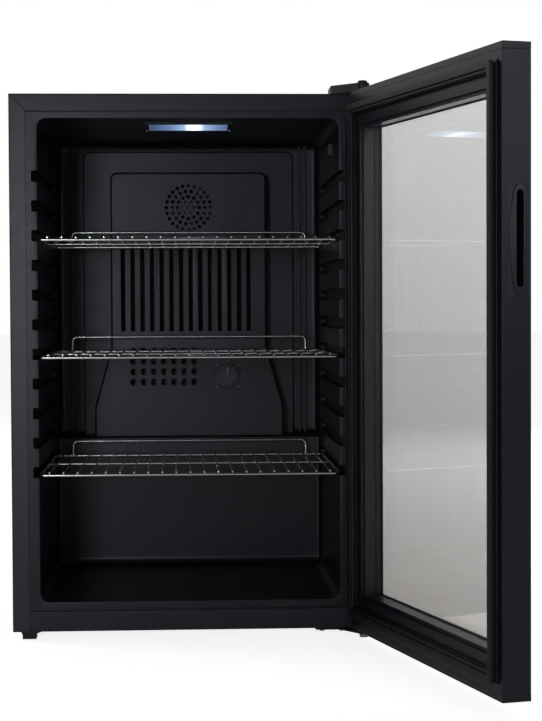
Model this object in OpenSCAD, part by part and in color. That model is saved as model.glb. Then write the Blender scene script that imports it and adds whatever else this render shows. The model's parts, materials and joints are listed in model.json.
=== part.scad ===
// Under-counter drinks fridge with a glazed door and three wire shelves.
// Origin: on the floor under the middle of the cabinet. +Z is up, the door is on the -Y side.
// All sizes are in millimetres.

/* [Cabinet] */
// Width of the cabinet and of the door
cab_w = 540; // [520:580]
// Depth of the cabinet without its door
cab_d = 530; // [520:580]
// Height of the cabinet above its feet
cab_h = 813; // [800:860]
// Height of the feet below the cabinet
foot_h = 12; // [11:18]
// Thickness of the sheet steel skins
skin = 1; // [0.8:0.1:1.2]
// Width of the steel flange around the front
flange = 25; // [23:26]
// Height of the steel bar across the bottom of the front
bar_h = 31; // [29:32]
// Depth of the recess in the back that holds the condenser
recess = 36; // [32:40]

/* [Compartment] */
// Width of the compartment
open_w = 455; // [440:456]
// Height of the compartment floor above the cabinet's underside
floor_up = 45; // [44:47]
// Distance of the compartment ceiling below the cabinet's top
ceiling_down = 37; // [36:42]
// Depth of the compartment above the step
upper_depth = 440; // [435:445]
// Depth of the compartment in front of the step
lower_depth = 385; // [384:390]
// Height of the step above the floor that the fridge stands on
step_z = 280; // [275:290]
// Wall thickness of the moulded liner
liner_t = 2; // [1.5:0.5:2.5]
// Number of shelf grooves on each side
groove_count = 11; // [11:11]
// Spacing of the shelf grooves
groove_pitch = 44.7; // [43:0.1:45]
// Height of one shelf groove
groove_h = 17; // [15:18]
// Depth of a shelf groove into the side wall
groove_in = 9.5; // [8.5:0.5:10]

/* [Shelves] */
// Diameter of the shelf's frame wire
frame_wire = 5; // [4:0.5:5.5]
// Diameter of the thin wires that carry the cans
thin_wire = 3; // [2.5:0.5:3.5]
// Number of thin wires
thin_count = 21; // [15:23]
// Width of a shelf over its frame wire
shelf_w = 464; // [462:466]
// Depth of a shelf between its front and back wires
shelf_d = 355; // [340:358]

/* [Door] */
// Thickness of the door without its gasket
door_t = 38.6; // [36:0.1:42]
// Gap that the closed gasket fills
door_gap = 12; // [11:0.5:13]
// Height of the door above the cabinet's underside
door_up = 4.5; // [4.5:0.5:7]
// Width of the frame around the glass
member = 48.5; // [46:0.5:52]
// Height of the caps on the door's top and bottom edges
cap_h = 9; // [8:10]
// Angle at which the door stands open
door_open = 104.7; // [0:0.1:120]
// Distance of the hinge line from the door's side edge
hinge_in = 9; // [9:0.5:12]
// Distance of the hinge line in front of the cabinet
hinge_out = 29; // [28.5:0.5:31]

/* [Running gear] */
// Radius of the hinge pins
pin_r = 3.5; // [3:0.5:3.5]
// Radius of the fan blades
fan_r = 42; // [36:43]
// Number of fan blades
blade_count = 5; // [3:7]
// Radius of the temperature dial
dial_r = 22; // [18:24]

/* [Hidden] */
$fn = 48;

SLIDE = 0.3;                       // gap between surfaces that slide or nearly touch
bottom_z = foot_h;
top_z = foot_h + cab_h;
front_y = -cab_d / 2;
back_y = cab_d / 2;
half_w = cab_w / 2;
back_panel_y = back_y - recess;
inner_x = half_w - skin;
rim_x = half_w - flange;
rim_top = top_z - flange;
rim_bottom = bottom_z + bar_h;
open_x = open_w / 2;
open_z0 = bottom_z + floor_up;
open_z1 = top_z - ceiling_down;
foam_x = open_x + liner_t;
base_top = bottom_z + 1.5;
step_y = front_y + lower_depth;
wall_y = front_y + upper_depth;
machine_y = step_y + 30;           // front wall of the compressor space
machine_z = step_z - 35;           // ceiling of the compressor space
rim_t = 3;

first_groove = open_z1 - 95.5;     // bottom of the topmost groove
function groove_z(i) = first_groove - i * groove_pitch;
shelf_slots = [2, 6, 10];
shelf_front = front_y + 12;        // middle of the front wire when the shelf is home
shelf_lift = frame_wire / 2 + SLIDE;

door_z0 = bottom_z + door_up;
door_z1 = top_z - 0.4;
door_in = front_y - door_gap;      // inner face of the closed door
door_out = door_in - door_t;
hinge_x = half_w - hinge_in;
hinge_y = front_y - hinge_out;
frame_z0 = door_z0 + cap_h;
frame_z1 = door_z1 - cap_h;
bush_r = pin_r + 1.5;
boss_r = bush_r + 2;
glass_in = 38;                     // how far the glass edge sits inside the frame
pane_t = 4;
pane_gap = 8;
lip_t = 2.7;
glazing_t = 2 * pane_t + pane_gap;
handle_z = frame_z0 + 557;
handle_h = 134;
handle_w = 21;
handle_y = door_in - 19.5;
slot_h = 121;
slot_w = 9.5;
slot_deep = 18;
cup_deep = 22;

cover_y = front_y + 395;           // face of the evaporator cover
cover_x = 135;
cover_top = 736;
flare_x = 164;                     // half-width of the cover's spread foot
flare_z0 = 330;
flare_z1 = 433;
fan_z = 675;
dial_x = 66;
dial_z = 383;
motor_y = cover_y + 22;
switch_y = front_y + 140;
switch_z = 751;
switch_pin_x = open_x - 4.5;
rocker_tilt = 6;
lamp_x = 61;
lamp_y0 = front_y + 58;
lamp_y1 = front_y + 104;
pot_y = machine_y + 58;
pot_x = -60;
foot_x = half_w - 20;
foot_y = 44;

function arc(cx, cy, r, a0, a1, n = 6) =
    [for (i = [0:n]) [cx + r * cos(a0 + (a1 - a0) * i / n), cy + r * sin(a0 + (a1 - a0) * i / n)]];

function rounded(x0, y0, x1, y1, r, n = 6) = concat(
    arc(x1 - r, y0 + r, r, -90, 0, n), arc(x1 - r, y1 - r, r, 0, 90, n),
    arc(x0 + r, y1 - r, r, 90, 180, n), arc(x0 + r, y0 + r, r, 180, 270, n));

module slab(a, b) translate(a) cube(b - a);

// an outline in X and Z, drawn from y0 to y1
module along_y(y0, y1) translate([0, y1, 0]) rotate([90, 0, 0]) linear_extrude(y1 - y0) children();

// an outline in Y and Z, drawn from x0 to x1
module along_x(x0, x1) translate([x0, 0, 0]) rotate([90, 0, 90]) linear_extrude(x1 - x0) children();

// an outline in X and Y, drawn from z0 to z1
module along_z(z0, z1) translate([0, 0, z0]) linear_extrude(z1 - z0) children();

module rod(a, b, r) {
    v = b - a;
    translate(a)
        rotate([0, acos(v[2] / norm(v)), atan2(v[1], v[0])])
            cylinder(h = norm(v), r = r, $fn = 24);
}

function unit(v) = v / norm(v);

// a route with each of its inner corners eased into a curve that starts d before the corner
function eased(route, d) = concat([route[0]], [
    for (i = [1:1:len(route) - 2]) for (t = [0:0.25:1])
        let (p = route[i], a = p + d * unit(route[i - 1] - p), b = p + d * unit(route[i + 1] - p))
            (1 - t) * (1 - t) * a + 2 * t * (1 - t) * p + t * t * b
], [route[len(route) - 1]]);

// a pipe bent along a route, as one solid with ten flat sides
module pipe(route, r, bend = 14) {
    path = eased(route, bend);
    sides = 10;
    last = len(path) - 1;
    rings = [for (i = [0:last]) let (
        t = unit(path[min(i + 1, last)] - path[max(i - 1, 0)]),
        u = unit(cross(t, [0.35, 0.9, 0.24])),
        v = cross(t, u)
    ) for (k = [0:sides - 1]) path[i] + r * (cos(k * 360 / sides) * u + sin(k * 360 / sides) * v)];
    polyhedron(rings, concat(
        [[for (k = [sides - 1:-1:0]) k]],
        [for (i = [0:last - 1]) for (k = [0:sides - 1])
            [i * sides + k, i * sides + (k + 1) % sides,
                (i + 1) * sides + (k + 1) % sides, (i + 1) * sides + k]],
        [[for (k = [0:sides - 1]) last * sides + k]]));
}

module drill_y(x, z, y0, y1, r) translate([x, y1, z]) rotate([90, 0, 0]) cylinder(h = y1 - y0, r = r);

module drill_z(x, y, z0, z1, r) translate([x, y, z0]) cylinder(h = z1 - z0, r = r);

module mirror_x() {
    children();
    mirror([1, 0, 0]) children();
}

// ---- steel cabinet ----

// one side wall with its folded front flange, cut at 45 degrees where it meets the top
module side_panel() {
    union() {
        slab([-half_w, front_y, bottom_z], [-inner_x, back_y, top_z]);
        along_y(front_y, front_y + skin) polygon([
            [-inner_x, bottom_z], [-rim_x, bottom_z], [-rim_x, rim_top], [-inner_x, top_z - skin]
        ]);
        slab([-inner_x, back_y - skin, bottom_z], [-inner_x + 12, back_y, top_z - skin]);
    }
}

module side_panel_left() color("#232325") side_panel();

module side_panel_right() color("#232325") mirror([1, 0, 0]) side_panel();

module top_panel() {
    color("#1d1d1f") difference() {
        union() {
            slab([-inner_x, front_y, top_z - skin], [inner_x, back_y, top_z]);
            along_y(front_y, front_y + skin) polygon([
                [-inner_x, top_z - skin], [-rim_x, rim_top], [rim_x, rim_top], [inner_x, top_z - skin]
            ]);
            slab([-inner_x + 12, back_y - skin, top_z - 25], [inner_x - 12, back_y, top_z - skin]);
        }
        for (p = hinge_screws) drill_z(p[0], p[1], top_z - 10, top_z + 1, 2.1);
    }
}

module back_panel() {
    color("#1b1b1d") slab(
        [-inner_x, back_panel_y, machine_z], [inner_x, back_panel_y + skin, top_z - skin]);
}

module base_plate() {
    color("#2a2a2c") difference() {
        slab([-inner_x, front_y + 20, bottom_z], [inner_x, back_y - skin, base_top]);
        for (x = [-foot_x, foot_x])
            for (y = [front_y + foot_y, back_y - foot_y]) drill_z(x, y, bottom_z - 1, base_top + 1, 4.1);
        for (p = plate_screws) drill_z(p[0], p[1], bottom_z - 1, base_top + 1, 2.1);
        for (x = [-70, 70]) for (y = [-40, 40])
            drill_z(pot_x + x, pot_y + y, bottom_z - 1, base_top + 1, 5);
    }
}

// folded channel across the bottom of the front
module front_bar() {
    color("#151516") difference() {
        slab([-rim_x, front_y, bottom_z], [rim_x, front_y + 20, rim_bottom]);
        slab([-rim_x - 1, front_y + 1.5, base_top], [rim_x + 1, front_y + 21, rim_bottom - 1.5]);
        for (p = bar_screws) drill_z(p[0], p[1], bottom_z - 1, base_top + 1, 2.1);
    }
}

// ---- insulated compartment ----

// the space inside the liner, grown by e on every side
module hollow(e) {
    intersection() {
        along_y(front_y - 1, wall_y + 20)
            polygon(rounded(-open_x - e, open_z0 - e, open_x + e, open_z1 + e, 14 + e));
        union() {
            along_z(open_z0 - 5, step_z + 30) polygon(
                concat([[-open_x - 5, front_y - 1], [open_x + 5, front_y - 1]],
                    arc(open_x + e - 10, step_y + e - 10, 10, 0, 90),
                    arc(-open_x - e + 10, step_y + e - 10, 10, 90, 180)));
            along_z(step_z - e, open_z1 + 5) polygon(
                concat([[-open_x - 5, front_y - 1], [open_x + 5, front_y - 1]],
                    arc(open_x + e - 25, wall_y + e - 25, 25, 0, 90),
                    arc(-open_x - e + 25, wall_y + e - 25, 25, 90, 180)));
        }
    }
}

// the shelf grooves of both sides, grown by e
module grooves(e) {
    for (i = [0:groove_count - 1])
        mirror_x() along_x(open_x - 8, open_x + groove_in + e) polygon(concat(
            [[front_y - 1, groove_z(i) - e]],
            arc(step_y - 12, groove_z(i) + groove_h / 2, groove_h / 2 + e, -90, 90)
            , [[front_y - 1, groove_z(i) + groove_h + e]]));
}

module inner_liner() {
    color("#101012") difference() {
        union() {
            slab([-rim_x, front_y, rim_bottom], [rim_x, front_y + rim_t, rim_top]);
            difference() {
                union() {
                    hollow(liner_t);
                    grooves(liner_t);
                }
                slab([-half_w, front_y - 2, 0], [half_w, front_y, top_z]);
            }
        }
        hollow(0);
        grooves(0);
        drill_z(0, step_y - 30, open_z0 - 5, open_z0 + 1, 6);
    }
}

module foam_side() {
    difference() {
        slab([-inner_x, front_y + rim_t, base_top], [-foam_x, back_panel_y, top_z - skin]);
        grooves(liner_t);
        drill_z(-foot_x, front_y + foot_y, base_top - 1, base_top + 14, 6);
        drill_z(-foot_x, back_y - foot_y, base_top - 1, base_top + 14, 6);
        slab([-rim_x - 1, front_y, bottom_z], [-foam_x + 1, front_y + 20, rim_bottom]);
    }
}

module insulation_left() color("#d8c66a") foam_side();

module insulation_right() color("#d8c66a") mirror([1, 0, 0]) foam_side();

module insulation_top() {
    color("#d8c66a") slab(
        [-foam_x, front_y + rim_t, open_z1 + liner_t], [foam_x, back_panel_y, top_z - skin]);
}

module insulation_floor() {
    color("#d8c66a") difference() {
        slab([-foam_x, front_y + 20, base_top], [foam_x, machine_y, open_z0 - liner_t]);
        drill_z(0, step_y - 30, base_top - 1, open_z0, 6);
        slab([-8, step_y - 38, base_top - 1], [8, machine_y + 1, base_top + 16]);
    }
}

module insulation_back() {
    color("#d8c66a") slab([-foam_x, wall_y + liner_t, step_z - liner_t],
        [foam_x, back_panel_y, open_z1 + liner_t]);
}

module insulation_step_front() {
    color("#d8c66a") slab([-foam_x, step_y + liner_t, open_z0 - liner_t],
        [foam_x, machine_y, step_z - liner_t]);
}

module insulation_step_top() {
    color("#d8c66a") slab(
        [-foam_x, machine_y, machine_z + skin], [foam_x, back_panel_y, step_z - liner_t]);
}

module compartment_lining() {
    color("#2b2b2d") difference() {
        union() {
            slab([-foam_x, machine_y, base_top], [foam_x, machine_y + skin, machine_z]);
            slab([-foam_x, machine_y, machine_z], [foam_x, back_panel_y, machine_z + skin]);
        }
        slab([-8, machine_y - 1, base_top - 1], [8, machine_y + 2, base_top + 16]);
    }
}

// ---- hinges and feet ----

hinge_screws = [[226, front_y + 22], [254, front_y + 22], [240, front_y + 44]];
plate_screws = [[200, front_y + 34], [220, front_y + 34]];
bar_screws = [[200, front_y + 10], [230, front_y + 10]];

// plan of a hinge plate: an arm from the cabinet to a round end over the hinge line
function hinge_plan(r, x0, y1) = concat(
    [[hinge_x + r, y1], [x0, y1], [x0, front_y + 6 - r / 3]],
    arc(hinge_x, hinge_y, r, 225, 360));

module hinge_top_plate() {
    color("#3a3a3d") difference() {
        along_z(top_z, top_z + 3) polygon(hinge_plan(9, 218, front_y + 54));
        drill_z(hinge_x, hinge_y, top_z - 1, top_z + 4, pin_r);
        for (p = hinge_screws) drill_z(p[0], p[1], top_z - 1, top_z + 4, 2.1);
    }
}

module hinge_top_pin() {
    color("silver") union() {
        drill_z(hinge_x, hinge_y, top_z - 16, top_z + 3, pin_r);
        drill_z(hinge_x, hinge_y, top_z + 3, top_z + 6, pin_r + 2.5);
    }
}

module hinge_cover() {
    color("#232325") difference() {
        along_z(top_z, top_z + 12) polygon(hinge_plan(10.5, 216, front_y + 56));
        along_z(top_z - 1, top_z + 10) polygon(hinge_plan(9, 218, front_y + 54));
        drill_z(hinge_x, hinge_y, top_z - 1, top_z + 13, 8);
    }
}

module hinge_pin_cap() {
    color("#101012") difference() {
        union() {
            drill_z(hinge_x, hinge_y, top_z + 3, top_z + 13, 8);
            translate([hinge_x, hinge_y, top_z + 13]) cylinder(h = 3, r1 = 8, r2 = 6);
        }
        drill_z(hinge_x, hinge_y, top_z + 2, top_z + 7, pin_r + 2.5);
    }
}

module hinge_bottom_plate() {
    color("#3a3a3d") difference() {
        along_z(bottom_z - 3, bottom_z) polygon(concat(
            [[hinge_x + 9, front_y + 28], [236, front_y + 28], [236, front_y + 42],
             [190, front_y + 42], [190, front_y + 3], [226, front_y + 3]],
            arc(hinge_x, hinge_y, 9, 225, 360)));
        drill_z(hinge_x, hinge_y, bottom_z - 4, bottom_z + 1, pin_r);
        for (p = concat(plate_screws, bar_screws)) drill_z(p[0], p[1], bottom_z - 4, bottom_z + 1, 2.1);
    }
}

module hinge_bottom_pin() {
    color("silver") union() {
        drill_z(hinge_x, hinge_y, bottom_z - 3, door_z0 + 16, pin_r);
        drill_z(hinge_x, hinge_y, bottom_z - 8, bottom_z - 3, pin_r + 3.5);
        drill_z(hinge_x, hinge_y, bottom_z, door_z0 - SLIDE, pin_r + 3.5);
    }
}

// pan head with a short shank; up = 1 stands the head on top, -1 hangs it below
module screw(p, z, up, shank) {
    translate([p[0], p[1], z]) mirror([0, 0, up > 0 ? 0 : 1]) union() {
        cylinder(h = 2.4, r1 = 4, r2 = 3.2);
        translate([0, 0, -shank]) cylinder(h = shank, r = 2.1);
    }
}

module cabinet_screws() {
    color("#9a9a9e") {
        for (p = hinge_screws) screw(p, top_z + 3, 1, 3 + skin);
        for (p = concat(plate_screws, bar_screws)) screw(p, bottom_z - 3, -1, 4.5);
        for (x = [-200, 200]) for (z = [300, 780])
            translate([x, back_panel_y + skin, z]) rotate([-90, 0, 0]) cylinder(h = 2.4, r1 = 4, r2 = 3.2);
    }
}

// a foot: a tapering plastic pad on a stud that screws into the base
module foot(x, y, pad_r) {
    translate([x, y, 0]) rotate_extrude() polygon([
        [0, 0], [pad_r - 4, 0], [pad_r - 3, 1], [pad_r, bottom_z - 2], [pad_r, bottom_z - SLIDE],
        [4, bottom_z - SLIDE], [4, base_top + 10], [0, base_top + 10]
    ]);
}

module feet_rear() color("#141416") for (side = [-1, 1]) foot(side * foot_x, back_y - foot_y, 14);

module foot_front_left() color("#141416") foot(-foot_x, front_y + foot_y, 14);

module foot_front_right() color("#141416") foot(foot_x, front_y + foot_y, 12);

// ---- lamp and its switch ----

module lamp_housing() {
    color("#1c1c1f") difference() {
        along_x(-lamp_x - 7, lamp_x + 7) polygon([
            [lamp_y0 - 5, open_z1], [lamp_y0 - 3, open_z1 - 4], [lamp_y1, open_z1 - 9],
            [lamp_y1 + 6, open_z1 - 9], [lamp_y1 + 8, open_z1]
        ]);
        slab([-lamp_x, lamp_y0, open_z1 - 20], [lamp_x, lamp_y1 - 2, open_z1 - 1.5]);
        for (x = [-lamp_x - 3.5, lamp_x + 3.5])
            drill_z(x, lamp_y1 - 6, open_z1 - 10, open_z1 - 5, 1.6);
    }
}

module lamp_board() {
    color("#e8f0ff") union() {
        slab([-lamp_x + 2, lamp_y0 + 10, open_z1 - 3], [lamp_x - 2, lamp_y1 - 8, open_z1 - 1.5]);
        for (i = [0:5])
            slab([-51 + i * 19, lamp_y0 + 20, open_z1 - 4.2], [-44 + i * 19, lamp_y0 + 27, open_z1 - 3]);
    }
}

module lamp_lens() {
    color("#bcd4ff") along_x(-lamp_x + SLIDE, lamp_x - SLIDE) polygon([
        [lamp_y0 + SLIDE, open_z1 - 2.8], [lamp_y0 + SLIDE, open_z1 - 4.6],
        [lamp_y1 - 2 - SLIDE, open_z1 - 8.6], [lamp_y1 - 2 - SLIDE, open_z1 - 6.8]
    ]);
}

// rocker switch on the right wall; the rocker turns on an upright pin
module switch_frame() {
    color("#2a2a2d") difference() {
        slab([open_x - 6, switch_y - 16, switch_z - 9], [open_x, switch_y + 16, switch_z + 9]);
        slab([open_x - 7, switch_y - 13, switch_z - 6.5], [open_x - 1, switch_y + 13, switch_z + 6.5]);
        drill_z(switch_pin_x, switch_y, switch_z - 8, switch_z + 8, 1);
    }
}

// pressed to its "on" side, one half of its travel from level
module switch_rocker() {
    color("#3d3d42") translate([switch_pin_x, switch_y, 0]) rotate([0, 0, rocker_tilt]) union() {
        along_z(switch_z - 6, switch_z + 6)
            polygon([[1.9, -10], [-3, -12], [-2.3, 0], [-3, 12], [1.9, 10]]);
        drill_z(0, 0, switch_z - 7.8, switch_z + 7.8, 0.95);
    }
}

// ---- cold side ----

// moulded cover in front of the evaporator, with the fan's grille, slots and a vented control plate
module evaporator_cover() {
    color("#151517") difference() {
        union() {
            along_y(cover_y, wall_y) polygon(cover_outline(0));
            along_y(cover_y - 2, cover_y) polygon(rounded(-105, 345, 108, 438, 8));
        }
        along_y(cover_y + 2.5, wall_y + 1) polygon(cover_outline(2.5));
        for (ring = [1:4]) for (k = [0:ring * 6 - 1])
            drill_y(ring * 9.5 * cos(k * 60 / ring), fan_z + ring * 9.5 * sin(k * 60 / ring),
                cover_y - 1, cover_y + 3, 3.3);
        drill_y(0, fan_z, cover_y - 1, cover_y + 3, 3.3);
        for (i = [0:13])
            slab([-117 + i * 16.75, cover_y - 1, 462], [-111 + i * 16.75, cover_y + 3, 613]);
        for (i = [0:6]) for (z = [373, 391, 409, 427])
            drill_y(-96.5 + i * 17.5, z, cover_y - 3, cover_y + 3, 6);
        drill_y(dial_x, dial_z, cover_y - 3, cover_y + 3, 5);
    }
}

// outline of the cover, drawn in by e
function cover_outline(e) = concat(
    [[e - flare_x, step_z], [flare_x - e, step_z], [flare_x - e, flare_z0], [cover_x - e, flare_z1]],
    arc(cover_x - 12, cover_top - 12, 12 - e, 0, 90), arc(12 - cover_x, cover_top - 12, 12 - e, 90, 180),
    [[e - cover_x, flare_z1], [e - flare_x, flare_z0]]);

evap_rows = [430, 460, 490, 520, 550, 580];

module evaporator_tube() {
    color("#b9bcc0") translate([0, wall_y - 14, 0]) union() {
        for (z = evap_rows) rod([-108, 0, z], [108, 0, z], 4);
        for (i = [0:4])
            translate([i % 2 == 0 ? 108 : -108, 0, evap_rows[i] + 15]) rotate([90, 0, 0])
                rotate([0, 0, i % 2 == 0 ? -90 : 90])
                    rotate_extrude(angle = 180, $fn = 48) translate([15, 0]) circle(4, $fn = 24);
    }
}

module evaporator_fins() {
    color("#c9ccd0") for (i = [0:10]) difference() {
        slab([-101 + i * 20, wall_y - 26, 420], [-100 + i * 20, wall_y - 2, 590]);
        for (z = evap_rows) rod([-110, wall_y - 14, z], [110, wall_y - 14, z], 4);
    }
}

module fan_motor() {
    color("#2c2c30") difference() {
        union() {
            drill_y(0, fan_z, motor_y, motor_y + 18, 15);
            for (a = [45, 135, 225, 315])
                translate([0, motor_y + 15, fan_z]) rotate([0, -a, 0])
                    slab([14, -2, -4], [56, 2, 4]);
        }
        drill_y(0, fan_z, motor_y - 1, motor_y + 8, 1.55);
    }
}

module fan_blade() {
    color("#4a4a50") translate([0, motor_y, fan_z]) union() {
        rotate([90, 0, 0]) cylinder(h = 12, r = 11);
        rotate([-90, 0, 0]) cylinder(h = 7.5, r = 1.5);
        for (k = [0:blade_count - 1])
            rotate([0, k * 360 / blade_count, 0]) translate([0, -6, 0]) rotate([0, 0, 32])
                along_z(9, fan_r - 4) polygon([[-7.5, -1], [7.5, -1], [7.5, 1], [-7.5, 1]]);
    }
}

module thermostat() {
    color("#d9d9d4") difference() {
        slab([dial_x - 22, cover_y + 2.5, dial_z - 26], [dial_x + 22, cover_y + 34, dial_z + 26]);
        drill_y(dial_x, dial_z, cover_y, cover_y + 20, 3.05);
    }
}

module temperature_dial() {
    color("#3b3b40") translate([dial_x, cover_y - 2 - SLIDE, dial_z]) difference() {
        union() {
            rotate([90, 0, 0]) cylinder(h = 4, r = dial_r);
            rotate([90, 0, 0]) cylinder(h = 13, r = dial_r - 5);
            rotate([-90, 0, 0]) cylinder(h = 18, r = 3);
        }
        slab([-1, -14, 4], [1, -11.5, dial_r - 6]);
    }
}

// ---- shelves ----

// a chrome shelf: a frame loop in the grooves, two cross wires, thin wires and a raised back rail
module shelf(slot) {
    r = frame_wire / 2;
    corner = 8;
    x = shelf_w / 2 - r;
    y1 = shelf_front + shelf_d;
    z = groove_z(slot) + shelf_lift;
    thin_z = z + r + thin_wire / 2 - 0.4;
    union() {
        rod([corner - x, shelf_front, z], [x - corner, shelf_front, z], r);
        rod([corner - x, y1, z], [x - corner, y1, z], r);
        rod([-x, shelf_front + corner, z], [-x, y1 - corner, z], r);
        rod([x, shelf_front + corner, z], [x, y1 - corner, z], r);
        for (c = [[x - corner, y1 - corner, 0], [corner - x, y1 - corner, 90],
                  [corner - x, shelf_front + corner, 180], [x - corner, shelf_front + corner, 270]])
            translate([c[0], c[1], z]) rotate([0, 0, c[2]])
                rotate_extrude(angle = 90, $fn = 48) translate([corner, 0]) circle(r, $fn = 24);
        rod([-x, shelf_front + 195, z], [x, shelf_front + 195, z], r - 0.5);
        for (i = [0:thin_count - 1]) {
            tx = (i - (thin_count - 1) / 2) * 21.4;
            rod([tx, shelf_front - 1, thin_z], [tx, y1 + 1, thin_z], thin_wire / 2);
        }
        back_rail(y1, z);
    }
}

// low rail that stops the cans at the back of a shelf
module back_rail(y, z) {
    rod([-192, y, z + 25], [192, y, z + 25], 2);
    for (side = [-1, 1]) {
        rod([side * 200, y, z], [side * 200, y, z + 17], 2);
        translate([side * 192, y, z + 17]) rotate([90, 0, 0]) rotate([0, 0, side > 0 ? 0 : 90])
            rotate_extrude(angle = 90, $fn = 48) translate([8, 0]) circle(2, $fn = 24);
    }
}

module shelf_upper() color("#c8cacc") shelf(shelf_slots[0]);

module shelf_middle() color("#c8cacc") shelf(shelf_slots[1]);

module shelf_lower() color("#c8cacc") shelf(shelf_slots[2]);

// ---- warm side ----

module compressor() {
    color("#161618") union() {
        hull() for (x = [-22, 22])
            translate([pot_x + x, pot_y, 0]) rotate_extrude($fn = 32) polygon(concat(
                [[0, 30], [34, 30]], arc(34, 46, 18, -60, 0, 3), arc(20, 128, 32, 0, 60, 4), [[0, 160]]));
        slab([pot_x - 82, pot_y - 50, base_top + 11], [pot_x + 82, pot_y + 50, base_top + 14]);
        drill_z(pot_x - 30, pot_y, base_top + 13, 40, 20);
        drill_z(pot_x + 30, pot_y, base_top + 13, 40, 20);
    }
}

module compressor_grommets() {
    color("#2d2d2d") for (x = [-70, 70]) for (y = [-40, 40]) {
        drill_z(pot_x + x, pot_y + y, base_top, base_top + 11, 9);
        drill_z(pot_x + x, pot_y + y, base_top + 14, base_top + 18, 6);
        drill_z(pot_x + x, pot_y + y, base_top - 1.5, base_top, 5);
    }
}

module relay_box() {
    color("#e4e4e0") difference() {
        slab([pot_x + 74, pot_y - 24, 60], [pot_x + 98, pot_y + 24, 120]);
        slab([pot_x + 70, pot_y - 22, 62], [pot_x + 80, pot_y + 22, 118]);
    }
}

drier_x = 120;

module filter_drier() {
    color("#b87333") translate([drier_x, pot_y + 20, 60]) rotate_extrude() polygon([
        [0, 0], [2.5, 0], [2.5, 12], [10, 22], [10, 92], [2.5, 102], [2.5, 112], [0, 112]
    ]);
}

module refrigerant_pipes() {
    color("#b87333") {
        pipe([[pot_x - 74, pot_y, 100], [pot_x - 100, pot_y, 100], [-200, pot_y, 120], [-200, pot_y, 200],
            [-200, condenser_y, 200], [-200, condenser_y, 268]], 2.5);
        pipe([[drier_x, pot_y + 20, 172], [drier_x, pot_y + 20, 190], [200, condenser_y, 200],
            [200, condenser_y, 268]], 2.5);
        pipe([[drier_x, pot_y + 20, 60], [drier_x, pot_y + 20, 40], [60, pot_y + 30, 40],
            [60, machine_y + 20, 40], [60, machine_y + skin, 40]], 1.4, 8);
        pipe([[pot_x - 69, pot_y + 30, 60], [pot_x - 110, pot_y + 30, 60], [-180, machine_y + 20, 80],
            [-180, machine_y + 20, 170], [-180, machine_y + skin, 170]], 3.5, 8);
    }
}

condenser_y = back_panel_y + 18;
condenser_x = 200;
condenser_rows = 10;
condenser_z0 = 292;
condenser_pitch = 52;

// serpentine tube on the back
module condenser_tube() {
    r = condenser_pitch / 2;
    color("#141415") translate([0, condenser_y, 0]) union() {
        for (i = [0:condenser_rows - 1])
            rod([-condenser_x, 0, condenser_z0 + i * condenser_pitch],
                [condenser_x, 0, condenser_z0 + i * condenser_pitch], 2.5);
        for (i = [0:condenser_rows - 2]) {
            side = i % 2 == 0 ? 1 : -1;
            translate([side * condenser_x, 0, condenser_z0 + i * condenser_pitch + r])
                rotate([90, 0, 0]) rotate([0, 0, -90 * side])
                    rotate_extrude(angle = 180, $fn = 48) translate([r, 0]) circle(2.5, $fn = 24);
        }
    }
}

module condenser_wires() {
    top = condenser_z0 + (condenser_rows - 1) * condenser_pitch + 8;
    color("#141415") for (i = [0:18]) for (side = [-1, 1])
        rod([-189 + i * 21, condenser_y + side * 3.3, condenser_z0 - 8],
            [-189 + i * 21, condenser_y + side * 3.3, top], 0.8);
}

module condenser_clips() {
    color("#2e2e30") for (x = [-199.5, 199.5]) for (i = [1, 5, 8])
        difference() {
            slab([x - 5, back_panel_y + skin, condenser_z0 + i * condenser_pitch - 8],
                [x + 5, condenser_y + 4, condenser_z0 + i * condenser_pitch + 8]);
            rod([x - 6, condenser_y, condenser_z0 + i * condenser_pitch],
                [x + 6, condenser_y, condenser_z0 + i * condenser_pitch], 2.55);
        }
}

module drip_tray() {
    color("#1a1a1c") difference() {
        slab([pot_x - 50, pot_y - 34, 160], [pot_x + 50, pot_y + 34, 182]);
        slab([pot_x - 48, pot_y - 32, 162], [pot_x + 48, pot_y + 32, 183]);
    }
}

// carries the thaw water from the compartment floor to the back
module drain_tube() {
    color("#c9c9c4") union() {
        drill_z(0, step_y - 30, base_top + 8, open_z0 - liner_t, 4);
        translate([0, step_y - 30, base_top + 8]) sphere(4);
        rod([0, step_y - 30, base_top + 8], [0, machine_y + 8, base_top + 8], 4);
    }
}

// strain relief that the supply cord leaves the cabinet by
module cord_gland() {
    color("#101010") difference() {
        union() {
            slab([206, back_y - skin - 40, base_top], [226, back_y - skin - 10, base_top + 16]);
            translate([216, back_y - skin - 10, base_top + 8]) rotate([-90, 0, 0])
                cylinder(h = 10, r1 = 7, r2 = 5.5);
        }
        drill_y(216, base_top + 8, back_y - 60, back_y + 5, 3.6);
    }
}

// ---- door, drawn closed and then swung open ----

module on_door() {
    translate([hinge_x, hinge_y, 0]) rotate([0, 0, door_open]) translate([-hinge_x, -hinge_y, 0])
        children();
}

// a rectangular ring in the closed door: a and b are distances from the frame's edge,
// p and q are distances behind the outer face
module ring(a, b, p, q) {
    difference() {
        slab([a - half_w, door_out + p, frame_z0 + a], [half_w - a, door_out + q, frame_z1 - a]);
        slab([b - half_w, door_out + p - 1, frame_z0 + b], [half_w - b, door_out + q + 1, frame_z1 - b]);
    }
}

// the round bosses of the end caps that reach into the frame around the hinge line
module hinge_bosses() {
    drill_z(hinge_x, hinge_y, frame_z0 - 1, frame_z0 + 12, boss_r);
    drill_z(hinge_x, hinge_y, frame_z1 - 12, frame_z1 + 1, boss_r);
}

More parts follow.
